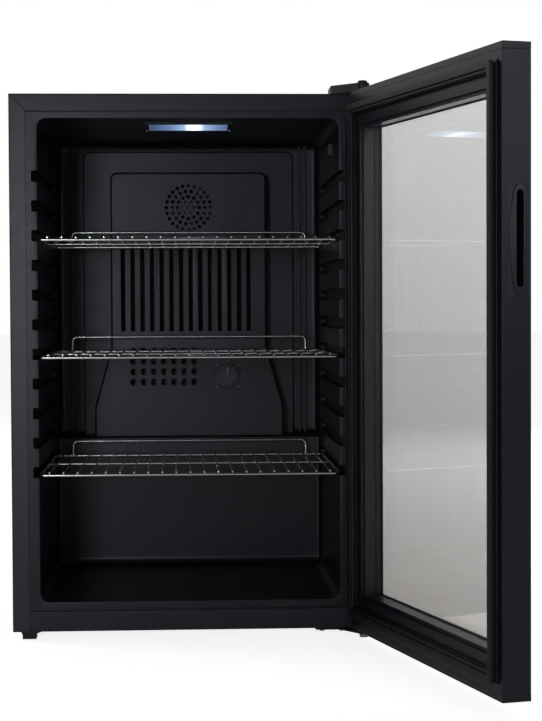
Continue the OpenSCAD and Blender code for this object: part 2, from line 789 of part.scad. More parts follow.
// the whole frame as one section all round, before its mitres are cut
module door_section() {
    seat = lip_t + glazing_t;
    difference() {
        union() {
            ring(0, member, 0, lip_t);
            ring(0, glass_in, lip_t, seat);
            ring(0, member - 5, seat, door_t);
            ring(member - 5, member, seat, door_t - 4);
        }
        ring(4, glass_in - 3, lip_t + 3, door_t - 8);
        ring(17, 23, door_t - 5, door_t + 1);
        hinge_bosses();
    }
}

// the part of the closed door on one side of its mitres: side -1 is the handle side
module stile_zone(side) {
    m = member + 12;
    along_y(door_out - 2, door_in + 2) polygon([
        [side * half_w, frame_z0], [side * (half_w - m), frame_z0 + m],
        [side * (half_w - m), frame_z1 - m], [side * half_w, frame_z1]
    ]);
}

module handle_block(deep, w, h) {
    slab([-half_w - 1, handle_y - w / 2, handle_z - h / 2],
        [deep - half_w, handle_y + w / 2, handle_z + h / 2]);
}

module door_stile_handle() {
    color("#1e1e21") on_door() difference() {
        intersection() {
            door_section();
            stile_zone(-1);
        }
        handle_block(cup_deep, handle_w - 2, handle_h - 4);
    }
}

module door_stile_hinge() {
    color("#1e1e21") on_door() intersection() {
        door_section();
        stile_zone(1);
    }
}

module door_rails() {
    color("#1e1e21") on_door() difference() {
        door_section();
        stile_zone(-1);
        stile_zone(1);
    }
}

module door_caps() {
    color("#17171a") on_door() {
        for (end = [0, 1]) difference() {
            union() {
                slab([-half_w, door_out, end ? frame_z1 : door_z0],
                    [half_w, door_in, end ? door_z1 : frame_z0]);
                drill_z(hinge_x, hinge_y, end ? frame_z1 - 12 : frame_z0 - 1,
                    end ? frame_z1 + 1 : frame_z0 + 12, boss_r);
            }
            drill_z(hinge_x, hinge_y, end ? frame_z1 - 13 : door_z0 - 1,
                end ? door_z1 + 1 : frame_z0 + 13, bush_r);
        }
    }
}

module door_bushes() {
    color("#e8e4d8") on_door() for (z = [[door_z0, frame_z0 + 12], [frame_z1 - 12, door_z1]])
        difference() {
            drill_z(hinge_x, hinge_y, z[0], z[1], bush_r);
            drill_z(hinge_x, hinge_y, z[0] - 1, z[1] + 1, pin_r + 0.05);
        }
}

// sealed double pane: two sheets of glass with a spacer bar between their edges
module glass_panes() {
    color([0.6, 0.62, 0.65, 0.5]) on_door() for (p = [lip_t, lip_t + pane_t + pane_gap])
        slab([glass_in - half_w, door_out + p, frame_z0 + glass_in],
            [half_w - glass_in, door_out + p + pane_t, frame_z1 - glass_in]);
}

module glass_spacer() {
    color("#8c8c90") on_door()
        ring(glass_in, member - 2, lip_t + pane_t, lip_t + pane_t + pane_gap);
}

// magnetic seal: a dart in the frame's groove, a foot and a soft bellows
module gasket() {
    color("#0e0e10") on_door() union() {
        ring(17, 23, door_t - 5, door_t);
        ring(12, 28, door_t, door_t + 3);
        ring(14, 26, door_t + 3, door_t + 7);
        ring(13, 27, door_t + 7, door_t + door_gap - 0.4);
    }
}

// recessed grip in the door's free edge
module handle_cup() {
    color("#0c0c0e") on_door() difference() {
        union() {
            handle_block(cup_deep, handle_w - 2, handle_h - 4);
            slab([-half_w - 1, handle_y - handle_w / 2, handle_z - handle_h / 2],
                [-half_w, handle_y + handle_w / 2, handle_z + handle_h / 2]);
        }
        slab([-half_w - 2, handle_y - slot_w / 2, handle_z - slot_h / 2 + slot_w / 2],
            [slot_deep - half_w, handle_y + slot_w / 2, handle_z + slot_h / 2 - slot_w / 2]);
        for (s = [-1, 1])
            rod([-half_w - 2, handle_y, handle_z + s * (slot_h - slot_w) / 2],
                [slot_deep - half_w, handle_y, handle_z + s * (slot_h - slot_w) / 2], slot_w / 2);
    }
}

side_panel_left();
side_panel_right();
top_panel();
back_panel();
base_plate();
front_bar();
inner_liner();
insulation_left();
insulation_right();
insulation_top();
insulation_floor();
insulation_back();
insulation_step_front();
insulation_step_top();
compartment_lining();
hinge_top_plate();
hinge_top_pin();
hinge_cover();
hinge_pin_cap();
hinge_bottom_plate();
hinge_bottom_pin();
cabinet_screws();
feet_rear();
foot_front_left();
foot_front_right();
lamp_housing();
lamp_board();
lamp_lens();
switch_frame();
switch_rocker();
evaporator_cover();
evaporator_tube();
evaporator_fins();
fan_motor();
fan_blade();
thermostat();
temperature_dial();
shelf_upper();
shelf_middle();
shelf_lower();
compressor();
compressor_grommets();
relay_box();
filter_drier();
refrigerant_pipes();
condenser_tube();
condenser_wires();
condenser_clips();
drip_tray();
drain_tube();
cord_gland();
door_stile_handle();
door_stile_hinge();
door_rails();
door_caps();
door_bushes();
glass_panes();
glass_spacer();
gasket();
handle_cup();
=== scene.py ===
import json
import math

import bmesh
import bpy
from mathutils import Matrix, Vector


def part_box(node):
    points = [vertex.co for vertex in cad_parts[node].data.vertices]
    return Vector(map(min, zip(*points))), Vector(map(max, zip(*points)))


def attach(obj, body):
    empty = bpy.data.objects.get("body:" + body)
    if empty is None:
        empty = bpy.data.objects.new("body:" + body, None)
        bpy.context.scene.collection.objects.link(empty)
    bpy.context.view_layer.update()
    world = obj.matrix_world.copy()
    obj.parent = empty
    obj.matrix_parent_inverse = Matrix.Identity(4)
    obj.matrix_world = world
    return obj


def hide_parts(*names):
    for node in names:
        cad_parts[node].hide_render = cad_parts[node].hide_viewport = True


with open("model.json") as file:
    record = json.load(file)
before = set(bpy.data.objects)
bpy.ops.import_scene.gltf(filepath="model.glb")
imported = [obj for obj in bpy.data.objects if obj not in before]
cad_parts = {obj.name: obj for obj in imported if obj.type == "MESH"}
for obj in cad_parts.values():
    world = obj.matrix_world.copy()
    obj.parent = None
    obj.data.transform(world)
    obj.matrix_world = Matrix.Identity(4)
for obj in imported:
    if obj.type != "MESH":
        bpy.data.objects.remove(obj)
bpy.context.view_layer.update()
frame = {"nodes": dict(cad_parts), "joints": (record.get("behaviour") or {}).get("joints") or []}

# Sizes are in millimetres and are made metres where a piece is placed. Only the soft boxes are
# placed in metres.
MM = 0.001


# ---- measures taken from the frame ----

def corners(node):
    """The lowest and highest corner of a CAD node, in millimetres."""
    return tuple(Vector(corner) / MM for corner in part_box(node))


def joint(name):
    return next(j for j in frame["joints"] if j["name"] == name)


SIDE_LO, SIDE_HI = corners("side_panel_right")
HALF_W, FRONT, BACK = SIDE_HI.x, SIDE_LO.y, SIDE_HI.y
BOTTOM, TOP = SIDE_LO.z, SIDE_HI.z
RIM_X = corners("front_bar")[1].x
RIM_BOTTOM = corners("front_bar")[1].z
RIM_TOP = TOP - (HALF_W - RIM_X)
SKIN = 1                 # thickness of the steel sheet
LINER_T = 2              # and of the pressed liner
OPEN_X = corners("insulation_top")[1].x - LINER_T
OPEN_Z0 = corners("insulation_floor")[1].z + LINER_T
OPEN_Z1 = corners("insulation_top")[0].z - LINER_T
WALL_Y = corners("insulation_back")[0].y - LINER_T
STEP_Y = corners("insulation_step_front")[0].y - LINER_T
STEP_Z = corners("insulation_step_top")[1].z + LINER_T
HINGE = Vector(joint("door_hinge")["pos_m"]) / MM
DOOR_OPEN = -math.radians(joint("door_hinge")["range_deg"][0])


# ---- modelling by hand: choosing, shaping and finishing ----

def take(piece):
    """Leaves piece as the only selected object, in object mode."""
    if bpy.context.object and bpy.context.object.mode != "OBJECT":
        bpy.ops.object.mode_set(mode="OBJECT")
    bpy.ops.object.select_all(action="DESELECT")
    if piece:
        piece.select_set(True)
    bpy.context.view_layer.objects.active = piece


def settle(piece):
    """Puts the piece's place, turn and scale into its mesh."""
    take(piece)
    bpy.ops.object.transform_apply(location=True, rotation=True, scale=True)
    return piece


def begin(name):
    """Names the piece that was just added."""
    piece = bpy.context.active_object
    piece.name = name
    piece.data.name = name
    return piece


def block(name, lo, hi):
    """A box between its lowest and highest corner."""
    take(None)
    lo, hi = Vector(lo) * MM, Vector(hi) * MM
    bpy.ops.mesh.primitive_cube_add(size=1, location=(lo + hi) / 2)
    piece = begin(name)
    piece.scale = hi - lo
    return settle(piece)


AXES = {"X": (0, math.pi / 2, 0), "Y": (-math.pi / 2, 0, 0), "Z": (0, 0, 0)}


def drum(name, start, length, radius, axis="Z", sides=32):
    """A cylinder that starts at a point and runs along an axis."""
    take(None)
    along = Vector([1 if a == axis else 0 for a in "XYZ"])
    bpy.ops.mesh.primitive_cylinder_add(
        vertices=sides, radius=radius * MM, depth=abs(length) * MM,
        location=(Vector(start) + along * length / 2) * MM, rotation=AXES[axis])
    return settle(begin(name))


def trace(name, points):
    """A chain of edges drawn from point to point."""
    take(None)
    bpy.ops.mesh.primitive_plane_add(size=MM, location=Vector(points[0]) * MM)
    piece = settle(begin(name))
    bpy.ops.object.mode_set(mode="EDIT")
    bpy.ops.mesh.select_all(action="SELECT")
    bpy.ops.mesh.merge(type="CENTER")
    bpy.ops.mesh.select_mode(type="VERT")
    bpy.ops.mesh.select_all(action="SELECT")
    for a, b in zip(points, points[1:]):
        step = (Vector(b) - Vector(a)) * MM
        bpy.ops.mesh.extrude_region_move(TRANSFORM_OT_translate={"value": step})
    return piece


def pick(piece, kind, test):
    """In edit mode, selects the VERT, EDGE or FACE elements that pass the test."""
    if bpy.context.object != piece or piece.mode != "EDIT":
        take(piece)
        bpy.ops.object.mode_set(mode="EDIT")
    bpy.ops.mesh.select_mode(type=kind)
    bpy.ops.mesh.select_all(action="DESELECT")
    mesh = bmesh.from_edit_mesh(piece.data)
    mesh.normal_update()
    for part in {"VERT": mesh.verts, "EDGE": mesh.edges, "FACE": mesh.faces}[kind]:
        if test(part):
            part.select_set(True)
    mesh.select_flush_mode()
    bmesh.update_edit_mesh(piece.data)


def middle(part):
    """The middle of a face or an edge, in millimetres."""
    spots = [v.co for v in part.verts]
    return sum(spots, Vector()) / len(spots) / MM


def near(a, b, slack=0.3):
    return abs(a - b) < slack


def faces(direction, where=lambda spot: True):
    """A test for faces that look along a direction and whose middle is in a place."""
    direction = Vector(direction)
    return lambda face: face.normal.dot(direction) > 0.9 and where(middle(face))


def edges(axis, where=lambda spot: True):
    """A test for edges that run along an axis and whose middle is in a place."""
    index = "XYZ".index(axis)

    def test(edge):
        run = edge.verts[1].co - edge.verts[0].co
        return run.length > 0 and abs(run[index]) > 0.99 * run.length and where(middle(edge))
    return test


def sharp(edge, where=lambda spot: True, angle=0.6):
    return len(edge.link_faces) == 2 and edge.calc_face_angle(0) > angle and where(middle(edge))


def push(step):
    """Extrudes what is selected by a step."""
    bpy.ops.mesh.extrude_region_move(TRANSFORM_OT_translate={"value": Vector(step) * MM})


def shift(step):
    bpy.ops.transform.translate(value=Vector(step) * MM)


def inset(width, depth=0, each=False):
    """Insets the selected faces as one field, or each on its own."""
    bpy.ops.mesh.inset(thickness=width * MM, depth=depth * MM, use_individual=each)


def resize(factors, centre):
    """Resizes what is selected about a centre, in millimetres."""
    bpy.ops.transform.resize(value=factors, center_override=Vector(centre) * MM)


def round_off(width, segments=3):
    bpy.ops.mesh.bevel(offset=width * MM, segments=segments, affect="EDGES")


def cut(spot, normal, fill=False, clear=""):
    """Cuts the selected geometry with a plane; clear says which side goes."""
    bpy.ops.mesh.bisect(plane_co=Vector(spot) * MM, plane_no=normal, use_fill=fill,
                        clear_inner=clear == "behind", clear_outer=clear == "ahead")


def everything():
    bpy.ops.mesh.select_all(action="SELECT")


def slice_up(piece, axis, places):
    """Cuts a piece right across an axis at each of the places, and leaves it in edit mode."""
    if piece.mode != "EDIT":
        bpy.ops.object.mode_set(mode="EDIT")
    along = Vector([1 if a == axis else 0 for a in "XYZ"])
    for place in places:
        everything()
        cut(along * place, along)


def drop(kind="FACE"):
    bpy.ops.mesh.delete(type=kind)


def modify(piece, kind, **settings):
    """Adds a modifier with its settings and applies it."""
    take(piece)
    bpy.ops.object.modifier_add(type=kind)
    modifier = piece.modifiers[-1]
    for key, value in settings.items():
        setattr(modifier, key, value)
    bpy.ops.object.modifier_apply(modifier=modifier.name)
    return piece


def thicken(piece, thickness, side=-1, even=True):
    """Gives a folded sheet its thickness, behind its faces (-1) or in front (1)."""
    return modify(piece, "SOLIDIFY", thickness=thickness * MM, offset=side, use_even_offset=even)


def ease(piece, width, segments=2, angle=30):
    """Rounds every edge that is sharper than the angle, in degrees."""
    return modify(piece, "BEVEL", width=width * MM, segments=segments, limit_method="ANGLE",
                  angle_limit=math.radians(angle), miter_outer="MITER_ARC", harden_normals=False)


def combine(piece, other, how):
    """Cuts another piece out of this one (DIFFERENCE) or adds it (UNION)."""
    modify(piece, "BOOLEAN", object=other, operation=how, solver="EXACT")
    bpy.data.objects.remove(other)
    return piece


def tidy(piece):
    """Merges doubles and turns every face outwards."""
    take(piece)
    bpy.ops.object.mode_set(mode="EDIT")
    everything()
    bpy.ops.mesh.remove_doubles(threshold=0.02 * MM)
    bpy.ops.mesh.normals_make_consistent(inside=False)
    bpy.ops.object.mode_set(mode="OBJECT")
    return piece


def another(piece, name, step):
    """A copy of the piece with its own mesh, moved by a step."""
    take(piece)
    bpy.ops.object.duplicate(linked=False)
    twin = begin(name)
    twin.location = Vector(step) * MM
    return settle(twin)


def turned(piece, angle, axis, centre):
    """Turns a piece about an axis through a centre, with its place kept in its mesh."""
    centre = Vector(centre) * MM
    spin = Matrix.Translation(centre) @ Matrix.Rotation(angle, 4, axis) @ Matrix.Translation(-centre)
    piece.matrix_world = spin @ piece.matrix_world
    return settle(piece)


def mirrored(piece, name):
    """The piece's mirror image across the cabinet's middle, as a new piece."""
    twin = another(piece, name, (0, 0, 0))
    twin.scale = (-1, 1, 1)
    settle(twin)
    return tidy(twin)


def flipped(piece, name):
    """The piece's mirror image in place of the piece."""
    twin = mirrored(piece, name)
    bpy.data.objects.remove(piece)
    return twin


def join(name, pieces):
    take(pieces[0])
    for piece in pieces:
        piece.select_set(True)
    bpy.ops.object.join()
    return begin(name)


def wire(name, points, radius, bend=0, closed=False, smoothness=5, sides=3):
    """Round wire or pipe along straight runs, bent to a radius at each corner."""
    piece = trace(name, points)
    if closed:
        pick(piece, "VERT", lambda v: len(v.link_edges) == 1)
        bpy.ops.mesh.edge_face_add()
    if bend:
        pick(piece, "VERT", lambda v: len(v.link_edges) == 2)
        bpy.ops.mesh.bevel(offset=bend * MM, segments=smoothness, affect="VERTICES")
    take(piece)
    bpy.ops.object.convert(target="CURVE")
    curve = bpy.context.active_object.data
    curve.bevel_depth = radius * MM
    curve.bevel_resolution = sides
    curve.use_fill_caps = True
    bpy.ops.object.convert(target="MESH")
    return tidy(begin(name))


def shell_of(node, name, width=0.5, segments=2, angle=30):
    """A piece worked up from a copy of a CAD node: merged, flats cleaned, edges rounded."""
    take(frame["nodes"][node])
    bpy.ops.object.duplicate(linked=False)
    piece = begin(name)
    for constraint in list(piece.constraints):
        piece.constraints.remove(constraint)
    world = piece.matrix_world.copy()
    piece.parent = None
    piece.matrix_world = world
    for key in list(piece.keys()):
        del piece[key]
    settle(piece)
    piece.data.materials.clear()
    bpy.ops.object.mode_set(mode="EDIT")
    everything()
    bpy.ops.mesh.remove_doubles(threshold=0.01 * MM)
    bpy.ops.mesh.dissolve_limited(angle_limit=math.radians(0.5), delimit={"NORMAL"})
    bpy.ops.object.mode_set(mode="OBJECT")
    if width:
        ease(piece, width, segments, angle)
    return piece


def fit(piece, body, slot, material, *nodes, angle=35):
    """The last step of every piece: shading, material, body and the nodes it stands for. The slot argument is
    not used.
    """
    take(piece)
    bpy.ops.object.shade_smooth_by_angle(angle=math.radians(angle))
    modify(piece, "WEIGHTED_NORMAL", keep_sharp=True)
    piece.data.materials.clear()
    piece.data.materials.append(material)
    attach(piece, body)
    if nodes:
        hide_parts(*nodes)
    return piece


def dress(material, *nodes):
    """Gives CAD nodes that stay as they are their material."""
    for name in nodes:
        node = frame["nodes"][name]
        node.data.materials.clear()
        node.data.materials.append(material)
        for spot in node.material_slots:
            spot.material = material


# ---- effects shared by the materials ----

def new_group(name, inputs, outputs):
    group = bpy.data.node_groups.new(name, "ShaderNodeTree")
    for label, value in inputs.items():
        kind = "NodeSocketColor" if isinstance(value, tuple) else "NodeSocketFloat"
        socket = group.interface.new_socket(name=label, in_out="INPUT", socket_type=kind)
        socket.default_value = value
    for label, kind in outputs.items():
        group.interface.new_socket(name=label, in_out="OUTPUT", socket_type=kind)
    return group, group.nodes.new("NodeGroupInput"), group.nodes.new("NodeGroupOutput")


def node(tree, kind, **settings):
    made = tree.nodes.new("ShaderNode" + kind)
    for key, value in settings.items():
        setattr(made, key, value)
    return made


def math_node(tree, operation, a, b=None, c=None, clamp=False):
    made = node(tree, "Math", operation=operation, use_clamp=clamp)
    for socket, value in zip(made.inputs, (a, b, c)):
        if value is None:
            continue
        if hasattr(value, "is_output"):
            tree.links.new(value, socket)
        else:
            socket.default_value = value
    return made.outputs[0]


def noise(tree, scale, detail=3.0, roughness=0.55, spot=None):
    """Noise over the piece's own coordinates, or over the spot that is given."""
    made = node(tree, "TexNoise")
    made.inputs["Detail"].default_value = detail
    made.inputs["Roughness"].default_value = roughness
    place = spot or node(tree, "TexCoord").outputs["Object"]
    tree.links.new(place, made.inputs["Vector"])
    if hasattr(scale, "is_output"):
        tree.links.new(scale, made.inputs["Scale"])
    else:
        made.inputs["Scale"].default_value = scale
    return made.outputs["Fac"]


def grain_group():
    """Fine relief: a pebbled coat or mould grain, with a slow ripple under it."""
    group, given, result = new_group(
        "fine_grain", {"Scale": 900.0, "Depth": 0.3, "Ripple": 0.1},
        {"Normal": "NodeSocketVector", "Height": "NodeSocketFloat"})
    fine = noise(group, given.outputs["Scale"], 2.0)
    slow = noise(group, 14.0, 1.0)
    height = math_node(group, "MULTIPLY_ADD", slow, given.outputs["Ripple"], fine)
    bump = node(group, "Bump")
    bump.inputs["Distance"].default_value = 0.0003
    group.links.new(given.outputs["Depth"], bump.inputs["Strength"])
    group.links.new(height, bump.inputs["Height"])
    group.links.new(bump.outputs["Normal"], result.inputs["Normal"])
    group.links.new(fine, result.inputs["Height"])
    return group


def patina_group():
    """Slow change of colour and gloss over a surface, worn edges and settled dust."""
    group, given, result = new_group(
        "patina",
        {"Color": (0.03, 0.03, 0.03, 1.0), "Roughness": 0.4, "Blotch": 0.08, "Wear": 0.1, "Dust": 0.05},
        {"Color": "NodeSocketColor", "Roughness": "NodeSocketFloat"})
    blotch = math_node(group, "SUBTRACT", noise(group, 7.0, 4.0), 0.5)
    smear = math_node(group, "SUBTRACT", noise(group, 38.0, 5.0, 0.65), 0.5)
    geometry = node(group, "NewGeometry")
    edge = node(group, "MapRange")
    edge.inputs["From Min"].default_value = 0.54
    edge.inputs["From Max"].default_value = 0.68
    group.links.new(geometry.outputs["Pointiness"], edge.inputs["Value"])
    worn = math_node(group, "MULTIPLY", edge.outputs["Result"], given.outputs["Wear"], clamp=True)
    up = node(group, "SeparateXYZ")
    group.links.new(geometry.outputs["Normal"], up.inputs[0])
    level = math_node(group, "POWER", math_node(group, "MAXIMUM", up.outputs["Z"], 0.0), 3.0)
    speck = noise(group, 220.0, 6.0, 0.7)
    dust = math_node(group, "MULTIPLY", math_node(group, "MULTIPLY", level, speck),
                     given.outputs["Dust"], clamp=True)
    tone = math_node(group, "MULTIPLY_ADD", blotch, given.outputs["Blotch"], 1.0)
    shade = node(group, "Mix", data_type="RGBA", blend_type="MULTIPLY")
    shade.inputs["Factor"].default_value = 1.0
    group.links.new(given.outputs["Color"], shade.inputs["A"])
    group.links.new(tone, shade.inputs["B"])
    lift = node(group, "Mix", data_type="RGBA")
    lift.inputs["B"].default_value = (0.42, 0.42, 0.43, 1.0)
    group.links.new(math_node(group, "ADD", worn, dust, clamp=True), lift.inputs["Factor"])
    group.links.new(shade.outputs["Result"], lift.inputs["A"])
    gloss = math_node(group, "MULTIPLY_ADD", smear, given.outputs["Blotch"], given.outputs["Roughness"])
    gloss = math_node(group, "ADD", gloss, math_node(group, "MULTIPLY", dust, 0.8), clamp=True)
    group.links.new(lift.outputs["Result"], result.inputs["Color"])
    group.links.new(gloss, result.inputs["Roughness"])
    return group


def drawn_group():
    """Long fine scratches along X or Z, as drawn and rolled metal has."""
    group, given, result = new_group(
        "drawn_lines", {"Depth": 0.1, "Across": 1400.0, "Along": 12.0},
        {"Normal": "NodeSocketVector", "Height": "NodeSocketFloat"})
    place = node(group, "TexCoord")
    stretch = node(group, "VectorMath", operation="MULTIPLY")
    scale = node(group, "CombineXYZ")
    group.links.new(given.outputs["Along"], scale.inputs["X"])
    group.links.new(given.outputs["Across"], scale.inputs["Y"])
    group.links.new(given.outputs["Across"], scale.inputs["Z"])
    group.links.new(place.outputs["Object"], stretch.inputs[0])
    group.links.new(scale.outputs[0], stretch.inputs[1])
    lines = noise(group, 1.0, 2.0, spot=stretch.outputs[0])
    bump = node(group, "Bump")
    bump.inputs["Distance"].default_value = 0.0002
    group.links.new(given.outputs["Depth"], bump.inputs["Strength"])
    group.links.new(lines, bump.inputs["Height"])
    group.links.new(bump.outputs["Normal"], result.inputs["Normal"])
    group.links.new(lines, result.inputs["Height"])
    return group


GRAIN = grain_group()
PATINA = patina_group()
DRAWN = drawn_group()


def placed(material, group, **values):
    """Puts a shared effect into a material with that material's own values."""
    made = material.node_tree.nodes.new("ShaderNodeGroup")
    made.node_tree = group
    for label, value in values.items():
        made.inputs[label].default_value = value
    return made


def finish_of(name, color, roughness, metallic=0.0, blotch=0.08, wear=0.0, dust=0.0,
              grain=None, drawn=None, **constants):
    """A material: its principled shader, with patina and a grain or drawn lines placed in it."""
    material = bpy.data.materials.new(name)
    material.use_nodes = True
    links = material.node_tree.links
    shader = material.node_tree.nodes["Principled BSDF"]
    shader.inputs["Metallic"].default_value = metallic
    for label, value in constants.items():
        shader.inputs[label.replace("_", " ")].default_value = value
    surface = placed(material, PATINA, Color=(*color, 1.0), Roughness=roughness, Blotch=blotch,
                     Wear=wear, Dust=dust)
    links.new(surface.outputs["Color"], shader.inputs["Base Color"])
    links.new(surface.outputs["Roughness"], shader.inputs["Roughness"])
    relief = None
    if grain:
        relief = placed(material, GRAIN, Scale=grain[0], Depth=grain[1], Ripple=grain[2])
    elif drawn:
        relief = placed(material, DRAWN, Depth=drawn)
    if relief:
        links.new(relief.outputs["Normal"], shader.inputs["Normal"])
    return material


# ---- materials ----

POWDER_COAT = finish_of("powder_coat", (0.018, 0.0185, 0.024), 0.38, blotch=0.10, wear=0.05, dust=0.03,
                        grain=(1300.0, 0.22, 0.5))
BACK_SHEET = finish_of("painted_sheet", (0.018, 0.018, 0.020), 0.5, blotch=0.12, wear=0.05, dust=0.1,
                       grain=(900.0, 0.2, 0.6))
LINER = finish_of("moulded_liner", (0.0115, 0.0115, 0.0155), 0.38, blotch=0.10, dust=0.01,
                  grain=(1600.0, 0.16, 0.8))
BLACK_PLASTIC = finish_of("black_plastic", (0.014, 0.014, 0.016), 0.42, blotch=0.08, wear=0.03,
                          dust=0.03, grain=(1800.0, 0.2, 0.2))
DOOR_FRAME = finish_of("door_frame", (0.0115, 0.012, 0.0165), 0.30, blotch=0.08, wear=0.04, dust=0.02,
                       grain=(1500.0, 0.10, 0.6))
GLOSS_TRIM = finish_of("gloss_trim", (0.010, 0.0105, 0.013), 0.22, blotch=0.05, wear=0.02,
                       grain=(1500.0, 0.04, 0.3))
RUBBER = finish_of("black_rubber", (0.009, 0.009, 0.009), 0.5, blotch=0.12, dust=0.03,
                   grain=(1100.0, 0.1, 0.3))
CHROME = finish_of("chrome_wire", (0.93, 0.90, 0.85), 0.18, metallic=1.0, blotch=0.12,
                   grain=(500.0, 0.05, 0.1))
TURNED_STEEL = finish_of("turned_steel", (0.56, 0.56, 0.58), 0.3, metallic=1.0, drawn=0.15)
ZINC = finish_of("zinc_sheet", (0.40, 0.40, 0.41), 0.42, metallic=1.0, blotch=0.3, drawn=0.1)
# painted shade: the evaporator behind the cover gets this black so it reads as the shade behind the grille
EVAPORATOR_SHADE_BLACK = finish_of("black_coat_for_painted_evaporator_shade", (0.012, 0.012, 0.013), 0.5, blotch=0.1, grain=(900.0, 0.1, 0.3))
SPACER = finish_of("spacer_bar", (0.02, 0.02, 0.023), 0.4, drawn=0.15)
COPPER = finish_of("drawn_copper", (0.62, 0.28, 0.14), 0.32, metallic=1.0, blotch=0.3, drawn=0.1)
ENAMEL = finish_of("compressor_enamel", (0.010, 0.010, 0.011), 0.22, blotch=0.06, dust=0.08,
                   grain=(420.0, 0.14, 0.8))
PALE_PLASTIC = finish_of("natural_plastic", (0.55, 0.54, 0.50), 0.45, blotch=0.08,
                         grain=(1500.0, 0.1, 0.2))
GREY_PLASTIC = finish_of("dark_grey_plastic", (0.045, 0.045, 0.05), 0.4, blotch=0.08, wear=0.04,
                         grain=(1700.0, 0.15, 0.2))
BOARD = finish_of("circuit_board", (0.75, 0.78, 0.82), 0.4, blotch=0.05, grain=(900.0, 0.05, 0.1))
FOAM = finish_of("poured_foam", (0.72, 0.58, 0.24), 0.8, blotch=0.3, grain=(650.0, 0.6, 0.6))


def glass_finish():
    """Clear float glass whose tint is painted greyer towards the foot as painted shade, with only slight
    smears in its gloss.
    """
    material = bpy.data.materials.new("clear_glass")
    material.use_nodes = True
    tree = material.node_tree
    shader = tree.nodes["Principled BSDF"]
    shader.inputs["Transmission Weight"].default_value = 1.0
    shader.inputs["IOR"].default_value = 1.5
    # painted shade: the tint darkens towards the foot to stand in for the darker lower glass, not a tint the
    # glass has
    split = node(tree, "SeparateXYZ")
    tree.links.new(node(tree, "TexCoord").outputs["Object"], split.inputs[0])
    ramp = node(tree, "ValToRGB")
    ramp.color_ramp.elements[0].color = (0.68, 0.665, 0.65, 1.0)
    ramp.color_ramp.elements[1].color = (1.0, 1.0, 1.0, 1.0)
    tree.links.new(math_node(tree, "MULTIPLY", split.outputs["Z"], 1.25, clamp=True), ramp.inputs[0])
    tree.links.new(ramp.outputs["Color"], shader.inputs["Base Color"])
    haze = math_node(tree, "MULTIPLY", noise(tree, 60.0, 4.0), 0.012)
    tree.links.new(haze, shader.inputs["Roughness"])
    return material


def glow_finish():
    """Frosted lamp lens, lit from behind by its row of diodes: white in the middle, bluer outwards."""
    material = bpy.data.materials.new("lamp_glow")
    material.use_nodes = True
    tree = material.node_tree
    shader = tree.nodes["Principled BSDF"]
    shader.inputs["Base Color"].default_value = (0.2, 0.25, 0.33, 1.0)
    shader.inputs["Roughness"].default_value = 0.3
    shader.inputs["Emission Strength"].default_value = 1.5
    split = node(tree, "SeparateXYZ")
    tree.links.new(node(tree, "TexCoord").outputs["Object"], split.inputs[0])
    off = math_node(tree, "ABSOLUTE", math_node(tree, "SUBTRACT", split.outputs["X"], 0.009))
    ramp = node(tree, "ValToRGB")
    ramp.color_ramp.elements[0].color = (1.0, 1.0, 1.0, 1.0)
    ramp.color_ramp.elements[1].color = (0.03, 0.05, 0.11, 1.0)
    ramp.color_ramp.elements.new(0.10).color = (0.85, 0.92, 1.0, 1.0)
    ramp.color_ramp.elements.new(0.26).color = (0.22, 0.32, 0.5, 1.0)
    ramp.color_ramp.elements.new(0.6).color = (0.09, 0.14, 0.26, 1.0)
    tree.links.new(math_node(tree, "MULTIPLY", off, 16.0, clamp=True), ramp.inputs[0])
    tree.links.new(ramp.outputs["Color"], shader.inputs["Emission Color"])
    return material


GLASS = glass_finish()
GLOW = glow_finish()


# ---- camera, floor and light ----

def camera():
    """Stands in front at table height, turned a little to the right and down."""
    spot = Vector((-4.4, FRONT - 2692.1, 504.9)) * MM
    yaw, pitch, roll = (math.radians(a) for a in (2.715, 1.773, -0.267))
    ahead = Vector((math.sin(yaw) * math.cos(pitch), math.cos(yaw) * math.cos(pitch), -math.sin(pitch)))
    right = Vector((math.cos(yaw), -math.sin(yaw), 0))
    up = right.cross(ahead)
    right, up = (right * math.cos(roll) + up * math.sin(roll), up * math.cos(roll) - right * math.sin(roll))
    data = bpy.data.cameras.new("camera")
    data.lens = 88.7
    data.sensor_width = 36
    data.sensor_fit = "AUTO"
    eye = bpy.data.objects.new("camera", data)
    eye.matrix_world = Matrix((
        (right.x, up.x, -ahead.x, spot.x), (right.y, up.y, -ahead.y, spot.y),
        (right.z, up.z, -ahead.z, spot.z), (0, 0, 0, 1)))
    bpy.context.scene.collection.objects.link(eye)
    bpy.context.scene.camera = eye


def seen_directly(tree):
    """One for what the camera sees, straight or through glass; nought for light on its way around."""
    path = node(tree, "LightPath")
    return math_node(tree, "MAXIMUM", path.outputs["Is Camera Ray"], path.outputs["Is Transmission Ray"])


def floor():
    """A pale floor that only shows the fridge's soft shadow."""
    take(None)
    bpy.ops.mesh.primitive_plane_add(size=60, location=(0, 0, 0))
    piece = settle(begin("studio_floor"))
    material = bpy.data.materials.new("studio_floor")
    material.use_nodes = True
    tree = material.node_tree
    shader = tree.nodes["Principled BSDF"]
    shader.inputs["Base Color"].default_value = (0.9, 0.9, 0.9, 1)
    shader.inputs["Roughness"].default_value = 0.9
    shader.inputs["Specular IOR Level"].default_value = 0.0
    shader.inputs["Emission Color"].default_value = (1, 1, 1, 1)
    glow = math_node(tree, "MULTIPLY_ADD", seen_directly(tree), 0.8, 0.04)
    tree.links.new(glow, shader.inputs["Emission Strength"])
    piece.data.materials.append(material)


